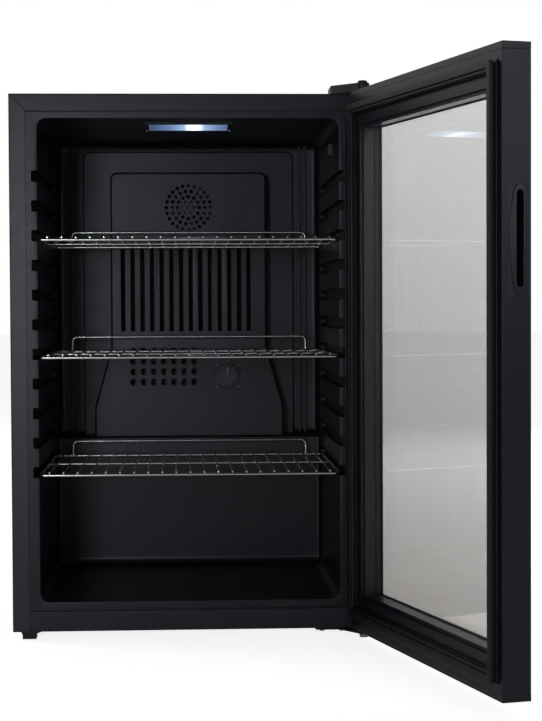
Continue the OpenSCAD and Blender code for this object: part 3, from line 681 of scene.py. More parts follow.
def softbox(name, spot, aim, width, height, watts, tint=(1, 1, 1)):
    """A lamp with a broad face at a spot, turned towards what it lights."""
    data = bpy.data.lights.new(name, "AREA")
    data.shape = "RECTANGLE"
    data.size, data.size_y = width, height
    data.energy = watts
    data.color = tint
    lamp = bpy.data.objects.new(name, data)
    lamp.location = spot
    lamp.rotation_euler = (Vector(aim) - Vector(spot)).to_track_quat("-Z", "Y").to_euler()
    bpy.context.scene.collection.objects.link(lamp)


COOL = (0.84, 0.9, 1.0)


def studio():
    """A white surround, dark to the fridge's front, and soft boxes in front, beside and behind."""
    world = bpy.data.worlds.new("studio")
    bpy.context.scene.world = world
    world.use_nodes = True
    tree = world.node_tree
    split = node(tree, "SeparateXYZ")
    tree.links.new(node(tree, "TexCoord").outputs["Generated"], split.inputs[0])
    blend = node(tree, "MapRange")
    blend.inputs["From Min"].default_value = 0.2
    blend.inputs["From Max"].default_value = 1.0
    blend.inputs["To Max"].default_value = 0.5
    tree.links.new(split.outputs["Y"], blend.inputs["Value"])
    factor = math_node(tree, "MAXIMUM", blend.outputs["Result"], seen_directly(tree))
    shade = node(tree, "Mix", data_type="RGBA")
    shade.inputs["A"].default_value = (0.022, 0.024, 0.032, 1.0)
    shade.inputs["B"].default_value = (1.0, 1.0, 1.0, 1.0)
    tree.links.new(factor, shade.inputs["Factor"])
    tree.links.new(shade.outputs["Result"], tree.nodes["Background"].inputs["Color"])
    softbox("front_softbox", (-0.62, -2.8, 0.68), (-0.2, -0.2, 0.55), 0.4, 0.5, 9, COOL)
    softbox("right_softbox", (2.0, -2.9, 1.4), (0.2, -0.4, 0.5), 1.0, 1.6, 6, COOL)
    softbox("rear_softbox", (1.8, 3.0, 2.0), (0, 0.2, 0.4), 1.6, 1.2, 32)
    softbox("side_softbox", (-3.2, 0.9, 1.8), (0, 0, 0.4), 1.4, 1.4, 22)
    bpy.context.scene.view_settings.view_transform = "Standard"


camera()
floor()
studio()


# ---- steel cabinet ----

FOLD_R = 2.2
REAR_FLANGE = 13


def side_skin(side):
    """One folded side wall: mitred front flange, narrow rear flange, rounded folds. It is made on
    the left, and the right one is its mirror image."""
    name, node_name = (("steel_side_left", "side_panel_left") if side < 0 else
                       ("steel_side_right", "side_panel_right"))
    flange = HALF_W - RIM_X
    piece = block(name, (-HALF_W, FRONT, BOTTOM), (-RIM_X, BACK, TOP))
    pick(piece, "FACE", lambda f: abs(f.normal.z) > 0.9 or f.normal.x > 0.9)
    drop()
    pick(piece, "VERT", lambda v: near(v.co.x / MM, -RIM_X) and v.co.y > 0)
    shift((RIM_X - HALF_W + REAR_FLANGE, 0, 0))
    pick(piece, "VERT", lambda v: near(v.co.x / MM, -RIM_X) and v.co.y < 0 and v.co.z / MM > RIM_TOP)
    shift((-0.3, 0, -flange - 1.1))
    pick(piece, "EDGE", edges("Z", lambda m: near(m.x, -HALF_W)))
    round_off(FOLD_R, 4)
    thicken(piece, SKIN)
    ease(piece, 0.2, 1, 60)
    if side > 0:
        piece = flipped(piece, name)
    return fit(piece, "cabinet", "black_steel", POWDER_COAT, node_name)


def top_skin():
    """The top sheet, folded down at the front and back between the side walls."""
    piece = block("steel_top", (-HALF_W + SKIN + 0.2, FRONT, RIM_TOP), (HALF_W - SKIN - 0.2, BACK, TOP))
    pick(piece, "FACE", lambda f: abs(f.normal.x) > 0.9 or f.normal.z < -0.9)
    drop()
    for side in (-1, 1):
        pick(piece, "VERT", lambda v: v.co.x * side > 0 and v.co.y < 0 and near(v.co.z / MM, RIM_TOP))
        shift((side * (RIM_X - HALF_W + SKIN), 0, 0))
        pick(piece, "VERT", lambda v: v.co.x * side > 0 and v.co.y > 0 and near(v.co.z / MM, RIM_TOP))
        shift((-side * 12, 0, 0))
    pick(piece, "EDGE", edges("X", lambda m: near(m.z, TOP)))
    round_off(FOLD_R, 4)
    thicken(piece, SKIN)
    ease(piece, 0.2, 1, 60)
    return fit(piece, "cabinet", "black_steel", POWDER_COAT, "top_panel")


def front_bar():
    """Folded channel under the compartment."""
    lo, hi = corners("front_bar")
    piece = block("steel_front_bar", lo, hi)
    pick(piece, "FACE", faces((0, 1, 0)))
    drop()
    pick(piece, "EDGE", edges("X", lambda m: near(m.y, FRONT)))
    round_off(1.8, 4)
    thicken(piece, 1.2)
    ease(piece, 0.2, 1, 60)
    return fit(piece, "cabinet", "black_steel", POWDER_COAT, "front_bar")


def back_sheet():
    """The recessed back sheet with its pressed stiffening panels."""
    lo, hi = corners("back_panel")
    piece = block("back_sheet", lo, hi)
    middle_z, below, above, beside, gap = (lo.z + hi.z) / 2, lo.z + 26, hi.z - 40, 24, 8
    slice_up(piece, "Z", (below, middle_z - gap, middle_z + gap, above))
    slice_up(piece, "X", (lo.x + beside, hi.x - beside))
    panel = lambda m: abs(m.x) < 200 and below < m.z < above and abs(m.z - middle_z) > gap
    pick(piece, "FACE", faces((0, 1, 0), panel))
    inset(5, 2.4)
    bpy.ops.object.mode_set(mode="OBJECT")
    ease(piece, 0.8, 2, 12)
    return fit(piece, "cabinet", "black_sheet", BACK_SHEET, "back_panel")


def corner_tabs():
    """Tabs tucked in behind both mitres, standing for the top sheet's tabs but given the darkest black: a
    dark sheet that paints the shade in the mitre gaps.
    """
    tab = block("corner_tabs", (RIM_X - 4, FRONT + 1.1, RIM_TOP - 4),
                (HALF_W - 1.3, FRONT + 1.7, TOP - 1.3))
    ease(tab, 0.15, 1)
    left = mirrored(tab, "corner_tab_left")
    # painted shade: the tabs take the black rubber so the mitre gaps read as dark seams
    return fit(join("corner_tabs", [tab, left]), "cabinet", "black_steel", RUBBER)


side_skin(-1)
side_skin(1)
corner_tabs()
top_skin()
front_bar()
back_sheet()


# ---- compartment ----

GROOVE_COUNT = 11
GROOVE_PITCH = 44.7
GROOVE_H = 17
GROOVE_IN = 9.5
GROOVE_END = STEP_Y - 8
FIRST_GROOVE = OPEN_Z1 - 95.5
CORNER_R = 14
OVERRUN = 20             # how far the compartment is drawn out of its mouth before it is cut off
PANEL_X = 184
SEAM = 1.1


def weigh_edges(piece, weight):
    """Sets how much of the bevel's width each edge gets."""
    mesh = bmesh.new()
    mesh.from_mesh(piece.data)
    layer = mesh.edges.layers.float.new("bevel_weight_edge")
    for edge in mesh.edges:
        edge[layer] = weight(edge)
    mesh.to_mesh(piece.data)
    mesh.free()


def groove_bars():
    """The room inside the shelf grooves of both sides: bars with round back ends."""
    first = block("groove_bars", (OPEN_X - 6, FRONT - OVERRUN, FIRST_GROOVE),
                  (OPEN_X + GROOVE_IN, GROOVE_END, FIRST_GROOVE + GROOVE_H))
    pick(first, "EDGE", edges("X", lambda m: near(m.y, GROOVE_END)))
    round_off(GROOVE_H / 2 - 0.2, 5)
    outer = lambda m: near(m.x, OPEN_X + GROOVE_IN) and m.y > FRONT - OVERRUN + 1
    pick(first, "EDGE", lambda e: sharp(e, outer, 1.0))
    round_off(2.4, 3)
    steps = [(0, 0, -i * GROOVE_PITCH) for i in range(1, GROOVE_COUNT)]
    bars = join("groove_bars", [first] + [another(first, "groove_bars", step) for step in steps])
    return join("groove_bars", [bars, mirrored(bars, "groove_bars_left")])


def raised_strip(name, x0, x1, z1, proud, corner):
    """A raised field on the back wall, from the step up to z1."""
    piece = block(name, (x0, WALL_Y - proud, STEP_Z - 8), (x1, WALL_Y + 10, z1))
    pick(piece, "EDGE", edges("Y", lambda m: m.z > STEP_Z))
    round_off(corner, 5)
    pick(piece, "EDGE", lambda e: sharp(e, lambda m: near(m.y, WALL_Y - proud), 1.0))
    round_off(min(proud, corner) * 0.45, 3)
    return piece


def face_rim(piece):
    """Fills the front between the mouth of the compartment and the steel flanges, with a fine
    stepped groove all round where it meets them."""
    centre = Vector((0, FRONT, (RIM_BOTTOM + RIM_TOP) / 2))
    width, height = 2 * RIM_X, RIM_TOP - RIM_BOTTOM
    pick(piece, "EDGE", lambda e: len(e.link_faces) == 1)
    bpy.ops.mesh.primitive_plane_add(size=1, location=centre * MM, rotation=(math.pi / 2, 0, 0))
    resize(((width - 2 * SEAM) * MM, 1, (height - 2 * SEAM) * MM), centre)
    bpy.ops.mesh.delete(type="ONLY_FACE")
    pick(piece, "EDGE", lambda e: len(e.link_faces) < 2)
    bpy.ops.mesh.fill(use_beauty=True)
    pick(piece, "EDGE", lambda e: len(e.link_faces) == 1)
    push((0, 1.4, 0))
    push((0, 0, 0))
    resize((width / (width - 2 * SEAM), 1, height / (height - 2 * SEAM)), centre)


def fold_weight(edge):
    """How round each fold of the compartment is: full at the ceiling and floor, tighter at the step."""
    m = middle(edge)
    side = near(abs(m.x), OPEN_X)
    if m.y < FRONT - OVERRUN + 1 or not sharp(edge, angle=1.0):
        return 0.0
    if near(m.y, WALL_Y):
        return 0.7 if m.z < OPEN_Z1 - 1 else 1.0
    if near(m.z, OPEN_Z0) or near(m.z, OPEN_Z1):
        return 1.0
    if side and (near(m.y, STEP_Y) or near(m.z, STEP_Z)):
        return 0.5
    return 0.36 if near(m.y, STEP_Y) and near(m.z, STEP_Z) else 0.0


def liner():
    """The compartment, pressed from one sheet: walls, step, grooves, back wall and front rim."""
    piece = block("compartment_liner", (-OPEN_X, FRONT - OVERRUN, OPEN_Z0), (OPEN_X, STEP_Y, OPEN_Z1))
    bpy.ops.object.mode_set(mode="EDIT")
    everything()
    cut((0, 0, STEP_Z), (0, 0, 1))
    pick(piece, "FACE", faces((0, 1, 0), lambda m: m.z > STEP_Z))
    push((0, WALL_Y - STEP_Y, 0))
    tidy(piece)

    combine(piece, groove_bars(), "UNION")
    weigh_edges(piece, fold_weight)
    modify(piece, "BEVEL", width=CORNER_R * MM, segments=5, limit_method="WEIGHT", use_clamp_overlap=False)
    combine(piece, raised_strip("raised_field", -PANEL_X, PANEL_X, OPEN_Z1 - 13, 6, 13), "DIFFERENCE")
    for side in (-1, 1):
        for x in (192, 202):
            strip = raised_strip("rib", *sorted((side * x, side * (x + 5))), OPEN_Z1 + 5, 5, 2)
            combine(piece, strip, "DIFFERENCE")
    pick(piece, "EDGE", lambda e: sharp(e, lambda m: near(abs(m.x), OPEN_X) and m.y < GROOVE_END + 1, 1.0))
    round_off(1.6, 2)
    everything()
    cut((0, FRONT, 0), (0, 1, 0), clear="behind")
    face_rim(piece)
    tidy(piece)
    outward = sum(p.normal.x * (1 if p.center.x > 0 else -1) for p in piece.data.polygons
                  if abs(p.normal.x) > 0.9)
    if outward < 0:
        bpy.ops.object.mode_set(mode="EDIT")
        everything()
        bpy.ops.mesh.flip_normals()
        bpy.ops.object.mode_set(mode="OBJECT")
    pick(piece, "EDGE", lambda e: all(near(v.co.y / MM, FRONT, 0.05) for v in e.verts)
         and sharp(e, lambda m: abs(m.x) < OPEN_X + 0.1, 1.0))
    round_off(1.4, 2)
    thicken(piece, LINER_T, side=1, even=False)
    drain = drum("drain_hole", (0, STEP_Y - 30, OPEN_Z0 - 6), 12, 6, "Z", 24)
    combine(piece, drain, "DIFFERENCE")
    return fit(piece, "cabinet", "liner", LINER, "inner_liner", angle=30)


def worked_up(node, body, slot, material, width=0.5, segments=2, angle=30, name=None):
    """A finished piece that stands for a CAD node, with its edges rounded."""
    piece = shell_of(node, name or node + "_piece", width, segments, angle)
    return fit(piece, body, slot, material, node)


SLOT_X, SLOT_W, SLOT_PITCH, SLOT_COUNT = -117, 6, 16.75, 14
SLOT_Z0, SLOT_Z1 = 462, 613


def evaporator_cover():
    """Moulded cover with a softly rounded outline, its grille, slots and vents crisp."""
    lo, hi = corners("evaporator_cover")
    face_y = lo.y + 2
    piece = shell_of("evaporator_cover", "evaporator_cover_piece", 0)
    outline = lambda m: near(m.y, face_y) and (abs(m.x) > 125 or m.z > hi.z - 14)
    pick(piece, "EDGE", lambda e: sharp(e, outline, 1.0))
    round_off(4, 4)
    flare = 1.7
    mouth = block("slot_mouth", (SLOT_X - flare, face_y - 1, SLOT_Z0 - flare),
                  (SLOT_X + SLOT_W + flare, face_y + 1.5, SLOT_Z1 + flare))
    pick(mouth, "FACE", faces((0, 1, 0)))
    resize((SLOT_W / (SLOT_W + 2 * flare), 1, (SLOT_Z1 - SLOT_Z0) / (SLOT_Z1 - SLOT_Z0 + 2 * flare)),
           (SLOT_X + SLOT_W / 2, 0, (SLOT_Z0 + SLOT_Z1) / 2))
    take(mouth)
    mouths = [mouth] + [another(mouth, "slot_mouth", (i * SLOT_PITCH, 0, 0)) for i in range(1, SLOT_COUNT)]
    combine(piece, join("slot_mouths", mouths), "DIFFERENCE")
    return fit(piece, "cabinet", "liner", LINER, "evaporator_cover")


def dial():
    """Temperature knob: a skirt, a fluted grip and a pale pointer; ticks on the plate around it."""
    lo, hi = corners("temperature_dial")
    centre = Vector(joint("dial_turn")["pos_m"]) / MM
    radius = (hi.x - lo.x) / 2
    back = hi.y - 18
    skirt = drum("dial_skirt", (centre.x, back, centre.z), -4, radius, "Y", 64)
    ease(skirt, 1.2, 3)
    grip = drum("dial_grip", (centre.x, back - 3.5, centre.z), -9.5, radius - 5, "Y", 48)
    bpy.ops.object.mode_set(mode="EDIT")
    around = lambda f: math.atan2(middle(f).z - centre.z, middle(f).x - centre.x)
    pick(grip, "FACE", lambda f: abs(f.normal.y) < 0.1 and round(around(f) / math.tau * 48) % 2 == 0)
    inset(0.35, -0.9, each=True)
    bpy.ops.object.mode_set(mode="OBJECT")
    ease(grip, 0.5, 2, 60)
    shaft = drum("dial_shaft", (centre.x, back, centre.z), 18, 3, "Y", 24)
    knob = join("temperature_knob", [skirt, grip, shaft])
    fit(knob, "dial", "grey_plastic", GREY_PLASTIC, "temperature_dial")
    pointer = block("dial_pointer", (centre.x - 0.9, back - 13.4, centre.z + 4),
                    (centre.x + 0.9, back - 12.6, centre.z + radius - 6.5))
    ease(pointer, 0.25, 2)
    fit(pointer, "dial", "pale_plastic", PALE_PLASTIC)
    tick = block("dial_scale", (centre.x - 0.5, back - 0.6, centre.z + radius + 2),
                 (centre.x + 0.5, back + 0.6, centre.z + radius + 6))
    ease(tick, 0.2, 1)
    ticks = [tick]
    for step in range(1, 7):
        twin = another(tick, "dial_scale", (0, 0, 0))
        ticks.append(turned(twin, math.radians(45 * step), "Y", centre))
    turned(tick, 0.0, "Y", centre)
    scale = join("dial_scale", ticks)
    turned(scale, math.radians(-135), "Y", centre)
    fit(scale, "cabinet", "pale_plastic", PALE_PLASTIC)


LENS_RIBS = 20


def lamp():
    """Ceiling lamp: housing with its two screws and a ribbed frosted lens, lit from behind by a row of
    diodes.
    """
    worked_up("lamp_housing", "cabinet", "black_plastic", BLACK_PLASTIC, 0.7, 3)
    lo, hi = corners("lamp_lens")
    lens = shell_of("lamp_lens", "lamp_lens_piece", 0)
    slice_up(lens, "X", [lo.x + (hi.x - lo.x) * i / LENS_RIBS for i in range(1, LENS_RIBS)])
    pick(lens, "FACE", lambda f: f.normal.z < -0.8)
    inset(0.5, 0.35, each=True)
    bpy.ops.object.mode_set(mode="OBJECT")
    fit(lens, "cabinet", "lamp_glow", GLOW, "lamp_lens")
    for x in (lo.x - 3.4, hi.x + 3.4):
        fit(screw("lamp_screw", (x, hi.y - 3.6, lo.z - 0.6), 2.2, 1.2, down=True),
            "cabinet", "bright_steel", TURNED_STEEL)


def screw(name, spot, radius=4, height=2.4, down=False, shank=0):
    """A pan-head screw with a cross recess."""
    x, y, z = spot
    head = drum(name, spot, height, radius, "Z", 32)
    pick(head, "EDGE", lambda e: sharp(e, lambda m: m.z > z + height - 0.2, 1.0))
    round_off(height * 0.55, 4)
    take(head)
    reach, half = radius * 0.62, radius * 0.15
    cross = block("cross", (x - reach, y - half, z + height * 0.45), (x + reach, y + half, z + height + 1))
    cross = combine(cross, block("bar", (x - half, y - reach, z + height * 0.45),
                                 (x + half, y + reach, z + height + 1)), "UNION")
    combine(head, cross, "DIFFERENCE")
    if shank:
        head = combine(head, drum("shank", (x, y, z - shank), shank + 0.4, radius * 0.52, "Z", 16), "UNION")
    if down:
        turned(head, math.pi, "X", (x, y, z))
    return head


# ---- chrome shelves ----

FRAME_WIRE_R = 2.5
THIN_WIRE_R = 1.5
THIN_COUNT = 21
THIN_PITCH = 21.4


def shelf(node):
    """A wire shelf: closed frame, cross wire, thin wires welded on top, raised back rail."""
    lo, hi = corners(node)
    r = FRAME_WIRE_R
    x, y0, y1, z = hi.x - r, lo.y + r, hi.y - r, lo.z + r
    pieces = [wire("frame", [(-x, y0, z), (x, y0, z), (x, y1, z), (-x, y1, z)], r, 8, closed=True)]
    cross = drum("cross", (-x, y0 + 195, z), 2 * x, 2, "X", 16)
    pieces.append(ease(cross, 0.6, 2, 60))
    level = z + r + THIN_WIRE_R - 0.4
    thin = drum("thin", (0, y0 - 1, level), y1 - y0 + 2, THIN_WIRE_R, "Y", 12)
    ease(thin, 0.55, 2, 60)
    for i in range(THIN_COUNT):
        pieces.append(another(thin, "thin", ((i - (THIN_COUNT - 1) / 2) * THIN_PITCH, 0, 0)))
    bpy.data.objects.remove(thin)
    pieces.append(wire("rail", [(-200, y1, z), (-200, y1, z + 25), (200, y1, z + 25), (200, y1, z)], 2, 8))
    piece = join(node + "_chrome", pieces)
    return fit(piece, node, "chrome_wire", CHROME, node, angle=50)


liner()
evaporator_cover()
dial()
lamp()
worked_up("switch_frame", "cabinet", "grey_plastic", GREY_PLASTIC, 0.6)
worked_up("switch_rocker", "rocker", "grey_plastic", GREY_PLASTIC, 0.5)
worked_up("fan_blade", "fan", "grey_plastic", GREY_PLASTIC, 0.4)
worked_up("fan_motor", "cabinet", "black_plastic", BLACK_PLASTIC, 0.5)
for shelf_name in ("shelf_upper", "shelf_middle", "shelf_lower"):
    shelf(shelf_name)


# ---- door, made closed and then swung open ----

DOOR_T = 38.6
DOOR_GAP = 12
DOOR_IN = FRONT - DOOR_GAP
DOOR_OUT = DOOR_IN - DOOR_T
FRAME_Z0, FRAME_Z1 = (corner.z for corner in corners("door_stile_hinge"))
HANDLE_Y = DOOR_IN - 19.5
HANDLE_Z = sum(corner.z for corner in corners("handle_cup")) / 2
GRIP_Y = DOOR_OUT + 15
GRIP_Z = HANDLE_Z + 1.5
SLOT_DEEP = 18


def swing(piece):
    """Turns a piece of the closed door to where the door stands."""
    return turned(piece, DOOR_OPEN, "Z", HINGE)


def door_ring(name, a, b, p, q):
    """A rectangular ring in the closed door: a and b lie in from the frame's edge, p and q behind
    the outer face."""
    piece = block(name, (a - HALF_W, DOOR_OUT + p, FRAME_Z0 + a), (HALF_W - a, DOOR_OUT + q, FRAME_Z1 - a))
    pick(piece, "FACE", lambda f: abs(f.normal.y) > 0.9)
    inset(b - a)
    drop()
    pick(piece, "EDGE", lambda e: len(e.link_faces) == 1)
    bpy.ops.mesh.bridge_edge_loops()
    return tidy(piece)


def gasket():
    """Magnetic seal: a dart in the frame's groove, a foot, the magnet bar and a soft bellows."""
    dart = door_ring("dart", 17, 23, DOOR_T - 5, DOOR_T + 0.5)
    foot = ease(door_ring("foot", 12, 28, DOOR_T, DOOR_T + 2.6), 1.1, 3)
    neck = door_ring("neck", 15.5, 20, DOOR_T + 2, DOOR_T + 6)
    magnet = ease(door_ring("magnet", 13, 22.4, DOOR_T + 5.4, DOOR_T + DOOR_GAP - 0.4), 1.6, 4)
    bellows = ease(door_ring("bellows", 21.6, 27.2, DOOR_T + 2, DOOR_T + 9.4), 2.4, 5)
    piece = swing(join("door_gasket", [dart, foot, neck, magnet, bellows]))
    return fit(piece, "door", "dark_rubber", RUBBER, "gasket", angle=45)


def capsule(name, y, z, length, radius, x0, x1):
    """A bar with round ends that stands up in the door's edge, from x0 to x1."""
    piece = drum(name, (x0, y, z), x1 - x0, radius, "X", 40)
    for end in (-1, 1):
        pick(piece, "VERT", lambda v: (v.co.z / MM - z) * end > 0.01)
        shift((0, 0, end * (length / 2 - radius)))
    take(piece)
    return piece


def handle():
    """Recessed grip in the edge of the door: a bowed bezel around a deep slot with round ends."""
    plate = block("grip_plate", (-HALF_W - 0.12, HANDLE_Y - 10.4, HANDLE_Z - 66.5),
                  (-HALF_W + 1, HANDLE_Y + 10.4, HANDLE_Z + 66.5))
    combine(plate, capsule("hole", GRIP_Y, GRIP_Z, 126, 6.5, -HALF_W - 3, -HALF_W + 3), "DIFFERENCE")
    fit(swing(plate), "door", "door_frame", DOOR_FRAME)

    bezel = capsule("grip_cup", GRIP_Y, GRIP_Z, 137, 7.6, -HALF_W - 1.2, -HALF_W + 0.6)
    slice_up(bezel, "Z", [GRIP_Z + i * 11.5 for i in range(-5, 6)])
    for reach, bow in ((58, 2.0), (47, 1.6), (35.5, 1.25), (24, 0.9), (12.5, 0.5)):
        pick(bezel, "VERT", lambda v: v.co.y / MM > GRIP_Y + 1 and abs(v.co.z / MM - GRIP_Z) < reach)
        shift((0, bow, 0))
    take(bezel)
    ease(bezel, 0.8, 3, 60)
    cup = capsule("cup", GRIP_Y, GRIP_Z + 1.5, 122, 5.6, -HALF_W - 0.4, -HALF_W + 19)
    combine(bezel, cup, "UNION")
    slot = capsule("slot", GRIP_Y, GRIP_Z + 1.5, 118, 4.6, -HALF_W - 3, -HALF_W + SLOT_DEEP)
    combine(bezel, slot, "DIFFERENCE")
    pick(bezel, "EDGE", lambda e: sharp(e, lambda m: near(m.x, -HALF_W - 1.2)))
    round_off(0.7, 3)
    take(bezel)
    return fit(swing(bezel), "door", "black_plastic", GLOSS_TRIM, "handle_cup")


def glass():
    """The sealed pair of panes with ground edges, and the spacer bar between them."""
    worked_up("glass_panes", "door", "glass", GLASS, 0.5, 2, 60)
    worked_up("glass_spacer", "door", "spacer", SPACER, 0.4, 2, 60)


gasket()
handle()
glass()
worked_up("door_stile_handle", "door", "door_frame", DOOR_FRAME, 0.7, 3, 40)
worked_up("door_stile_hinge", "door", "door_frame", DOOR_FRAME, 0.7, 3, 40)
worked_up("door_rails", "door", "door_frame", DOOR_FRAME, 0.7, 3, 40)
worked_up("door_caps", "door", "black_plastic", DOOR_FRAME, 1.0, 3, 40)


# ---- hinges and feet ----

def foot(name, node, body):
    """A levelling foot: a tapered pad with a gripped rim on its threaded stud."""
    lo, hi = corners(node)
    centre = (lo + hi) / 2
    radius = (hi.x - lo.x) / 2
    pad = drum(name, (centre.x, centre.y, 0), BOTTOM - 0.3, radius, "Z", 40)
    pick(pad, "VERT", lambda v: v.co.z < 0.001)
    resize(((radius - 4) / radius,) * 2 + (1,), (centre.x, centre.y, 0))
    around = lambda f: math.atan2(middle(f).y - centre.y, middle(f).x - centre.x)
    pick(pad, "FACE", lambda f: abs(f.normal.z) < 0.5 and round(around(f) / math.tau * 40) % 2 == 0)
    inset(0.5, -0.8, each=True)
    take(pad)
    ease(pad, 0.5, 2, 50)
    stud = wire("stud", [(centre.x, centre.y, BOTTOM - 1), (centre.x, centre.y, hi.z)], 4)
    return fit(join(name, [pad, stud]), body, "black_plastic", BLACK_PLASTIC, node)


def rear_feet():
    """Two plain tapered pads under the back."""
    lo, hi = corners("feet_rear")
    pads = []
    for x in (lo.x + 14, hi.x - 14):
        pad = drum("rear_feet", (x, (lo.y + hi.y) / 2, 0), BOTTOM - 0.3, 14, "Z", 40)
        pick(pad, "VERT", lambda v: v.co.z < 0.001)
        resize((10 / 14, 10 / 14, 1), (x, (lo.y + hi.y) / 2, 0))
        take(pad)
        pads.append(ease(pad, 1.0, 3, 30))
    return fit(join("rear_feet", pads), "cabinet", "black_plastic", BLACK_PLASTIC, "feet_rear")


TOP_SCREWS = [(226, FRONT + 22), (254, FRONT + 22), (240, FRONT + 44)]
BOTTOM_SCREWS = [(200, FRONT + 34), (220, FRONT + 34), (200, FRONT + 10), (230, FRONT + 10)]


def cabinet_screws():
    """Every screw of the cabinet: hinge plates and back sheet."""
    made = [screw("cabinet_screws", (x, y, TOP + 3), shank=4) for x, y in TOP_SCREWS]
    made += [screw("cabinet_screws", (x, y, BOTTOM - 3), down=True, shank=4.5) for x, y in BOTTOM_SCREWS]
    back_y = corners("back_panel")[1].y
    for x in (-200, 200):
        for z in (300, 780):
            piece = screw("cabinet_screws", (x, back_y, z))
            made.append(turned(piece, -math.pi / 2, "X", (x, back_y, z)))
    return fit(join("cabinet_screws_piece", made), "cabinet", "bright_steel", TURNED_STEEL, "cabinet_screws")


def foot_collar():
    """Ribbed plastic block under the front left corner that guards the levelling foot."""
    piece = block("foot_collar", (-256, FRONT + 3, 0.6), (-235, FRONT + 26, BOTTOM))
    slice_up(piece, "Z", (2.4, 4.0, 5.6, 7.2, 8.8))
    pick(piece, "VERT", lambda v: v.co.z / MM > BOTTOM - 0.1)
    resize((33 / 21, 1, 1), (-252, 0, 0))
    pick(piece, "FACE", lambda f: abs(f.normal.z) < 0.7 and
         (2.4 < middle(f).z < 4.0 or 5.6 < middle(f).z < 7.2))
    inset(0.1, -0.8)
    take(piece)
    ease(piece, 0.4, 2, 30)
    return fit(piece, "cabinet", "black_plastic", BLACK_PLASTIC)


foot_collar()
foot("levelling_foot_left", "foot_front_left", "foot_left")
foot("levelling_foot_right", "foot_front_right", "foot_right")
rear_feet()
cabinet_screws()
worked_up("hinge_cover", "cabinet", "black_plastic", BLACK_PLASTIC, 1.4, 3)
worked_up("hinge_pin_cap", "cabinet", "black_plastic", BLACK_PLASTIC, 0.8, 3)
worked_up("hinge_bottom_plate", "cabinet", "black_steel", POWDER_COAT, 0.5)


# ---- warm side at the back ----

POT_X = sum(corner.x for corner in corners("drip_tray")) / 2
POT_Y = sum(corner.y for corner in corners("drip_tray")) / 2
MACHINE_Y = corners("compartment_lining")[0].y
PIPE_Y = sum(corner.y for corner in corners("condenser_tube")) / 2
DRIER_X = sum(corner.x for corner in corners("filter_drier")) / 2
SEAM_Z0, SEAM_Z1 = 86, 92


def compressor():
    """Welded steel pot with its seam, on a plate with rounded corners; the plate's four eyes are not cut."""
    pot = drum("compressor_pot", (POT_X, POT_Y, 30), 130, 46, "Z", 64)
    for side in (-1, 1):
        pick(pot, "VERT", lambda v: (v.co.x / MM - POT_X) * side > 0.01)
        shift((side * 22, 0, 0))
    slice_up(pot, "Z", (SEAM_Z0, SEAM_Z1))
    pick(pot, "FACE", lambda f: SEAM_Z0 < middle(f).z < SEAM_Z1 and abs(f.normal.z) < 0.1)
    inset(0.6, 2.2)
    pick(pot, "EDGE", lambda e: sharp(e, lambda m: m.z > 150, 1.0))
    round_off(30, 8)
    pick(pot, "EDGE", lambda e: sharp(e, lambda m: m.z < 40, 1.0))
    round_off(16, 5)
    take(pot)
    lo, hi = corners("compressor")
    plate = block("plate", (lo.x, lo.y, lo.z), (hi.x, hi.y, lo.z + 3))
    pick(plate, "EDGE", edges("Z"))
    round_off(14, 5)
    take(plate)
    parts = [pot, ease(plate, 0.8, 2, 50)]
    for x in (-30, 30):
        parts.append(drum("leg", (POT_X + x, POT_Y, lo.z + 2), 26, 20, "Z", 32))
    stub = drum("stub", (POT_X - 50, POT_Y + 22, 60), -34, 4.5, "X", 20)
    parts.append(ease(stub, 0.8, 2, 60))
    return fit(join("compressor_piece", parts), "cabinet", "compressor_paint", ENAMEL, "compressor", angle=40)


def pipework():
    """Discharge, liquid, capillary and suction pipes, bent from copper tube."""
    spring, y = DRIER_X, POT_Y + 20
    runs = [
        ([(POT_X - 74, POT_Y, 100), (POT_X - 100, POT_Y, 100), (-200, POT_Y, 120), (-200, POT_Y, 200),
          (-200, PIPE_Y, 200), (-200, PIPE_Y, 268)], 2.5, 12),
        ([(spring, y, 172), (spring, y, 190), (200, PIPE_Y, 200), (200, PIPE_Y, 268)], 2.5, 8),
        ([(spring, y, 60), (spring, y, 40), (60, POT_Y + 30, 40), (60, MACHINE_Y + 20, 40),
          (60, MACHINE_Y + 1, 40)], 1.4, 8),
        ([(POT_X - 69, POT_Y + 30, 60), (POT_X - 110, POT_Y + 30, 60), (-180, MACHINE_Y + 20, 80),
          (-180, MACHINE_Y + 20, 170), (-180, MACHINE_Y + 1, 170)], 3.5, 9),
    ]
    pieces = [wire("pipe", route, r, bend) for route, r, bend in runs]
    return fit(join("copper_pipes", pieces), "cabinet", "copper", COPPER, "refrigerant_pipes", angle=60)


def drier():
    """Filter drier: a copper capsule drawn down to a pipe at both ends."""
    lo, hi = corners("filter_drier")
    centre = (lo + hi) / 2
    outline = [(2.5, 0), (2.5, 12), (10, 22), (10, 92), (2.5, 102), (2.5, 112)]
    piece = trace("drier_capsule", [(centre.x + r, centre.y, lo.z + z) for r, z in outline])
    pick(piece, "VERT", lambda v: len(v.link_edges) == 2)
    bpy.ops.mesh.bevel(offset=3 * MM, segments=4, affect="VERTICES")
    everything()
    bpy.ops.mesh.spin(steps=32, angle=math.tau, center=centre * MM, axis=(0, 0, 1))
    tidy(piece)
    pick(piece, "EDGE", lambda e: len(e.link_faces) == 1)
    bpy.ops.mesh.edge_face_add()
    tidy(piece)
    return fit(piece, "cabinet", "copper", COPPER, "filter_drier", angle=50)


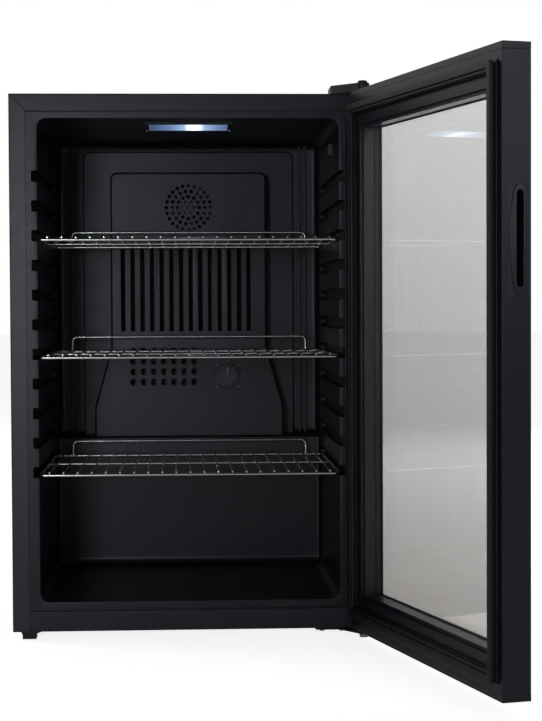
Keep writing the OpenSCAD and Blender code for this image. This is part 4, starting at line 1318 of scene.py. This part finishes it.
def condenser():
    """Serpentine tube with wires welded to both of its sides."""
    rows, pitch, z0 = 10, 52, corners("condenser_tube")[0].z + 2.5
    route = [(-200, PIPE_Y, z0)]
    for i in range(rows - 1):
        side = 226 if i % 2 == 0 else -226
        route += [(side, PIPE_Y, z0 + i * pitch), (side, PIPE_Y, z0 + (i + 1) * pitch)]
    route.append((-200, PIPE_Y, z0 + (rows - 1) * pitch))
    tube = wire("condenser_pipe", route, 2.5, 25.9, smoothness=8)
    fit(tube, "cabinet", "black_sheet", BACK_SHEET, "condenser_tube", angle=60)
    top = z0 + (rows - 1) * pitch + 8
    rod = drum("rod", (-189, PIPE_Y + 3.3, z0 - 8), top - z0 + 8, 0.8, "Z", 8)
    rods = [another(rod, "rod", (i * 21, side, 0)) for i in range(19) for side in (0, -6.6)]
    bpy.data.objects.remove(rod)
    fit(join("condenser_rods", rods), "cabinet", "black_sheet", BACK_SHEET, "condenser_wires", angle=60)


def machine_space_sides(side):
    """Sheet that covers the foam beside the compressor space, folded over its rear edge."""
    lo, hi = corners("insulation_right")
    x0, x1 = lo.x - 0.8, HALF_W - 1.2
    name = "machine_space_side_right" if side > 0 else "machine_space_side_left"
    z0, z1 = BOTTOM + 3.2, corners("back_panel")[0].z
    piece = block(name, (x0, MACHINE_Y + 1, z0), (x1, hi.y + 0.8, z1))
    pick(piece, "FACE", lambda f: abs(f.normal.z) > 0.9 or f.normal.y < -0.9 or f.normal.x > 0.9)
    drop()
    pick(piece, "EDGE", lambda e: sharp(e, angle=1.0))
    round_off(1.2, 3)
    thicken(piece, 0.6)
    if side < 0:
        piece = flipped(piece, name)
    return fit(piece, "cabinet", "zinc_steel", ZINC)


machine_space_sides(-1)
machine_space_sides(1)
compressor()
pipework()
drier()
condenser()
worked_up("compressor_grommets", "cabinet", "dark_rubber", RUBBER, 1.0, 3)
worked_up("relay_box", "cabinet", "pale_plastic", PALE_PLASTIC, 1.5, 3)
worked_up("condenser_clips", "cabinet", "black_plastic", BLACK_PLASTIC, 0.8, 2)
worked_up("drip_tray", "cabinet", "black_plastic", BLACK_PLASTIC, 0.9, 2)
worked_up("cord_gland", "cabinet", "black_plastic", BLACK_PLASTIC, 0.8, 2)
worked_up("drain_tube", "cabinet", "pale_plastic", PALE_PLASTIC, 0)


# ---- CAD nodes that stay ----

dress(FOAM, *[name for name in frame["nodes"] if name.startswith("insulation")])
dress(ZINC, "base_plate", "compartment_lining", "hinge_top_plate")
dress(TURNED_STEEL, "hinge_top_pin", "hinge_bottom_pin")
dress(BOARD, "lamp_board")
# painted shade: evaporator tube and fins in black stand in for the shade behind the cover
dress(EVAPORATOR_SHADE_BLACK, "evaporator_tube", "evaporator_fins")
dress(PALE_PLASTIC, "thermostat", "door_bushes")
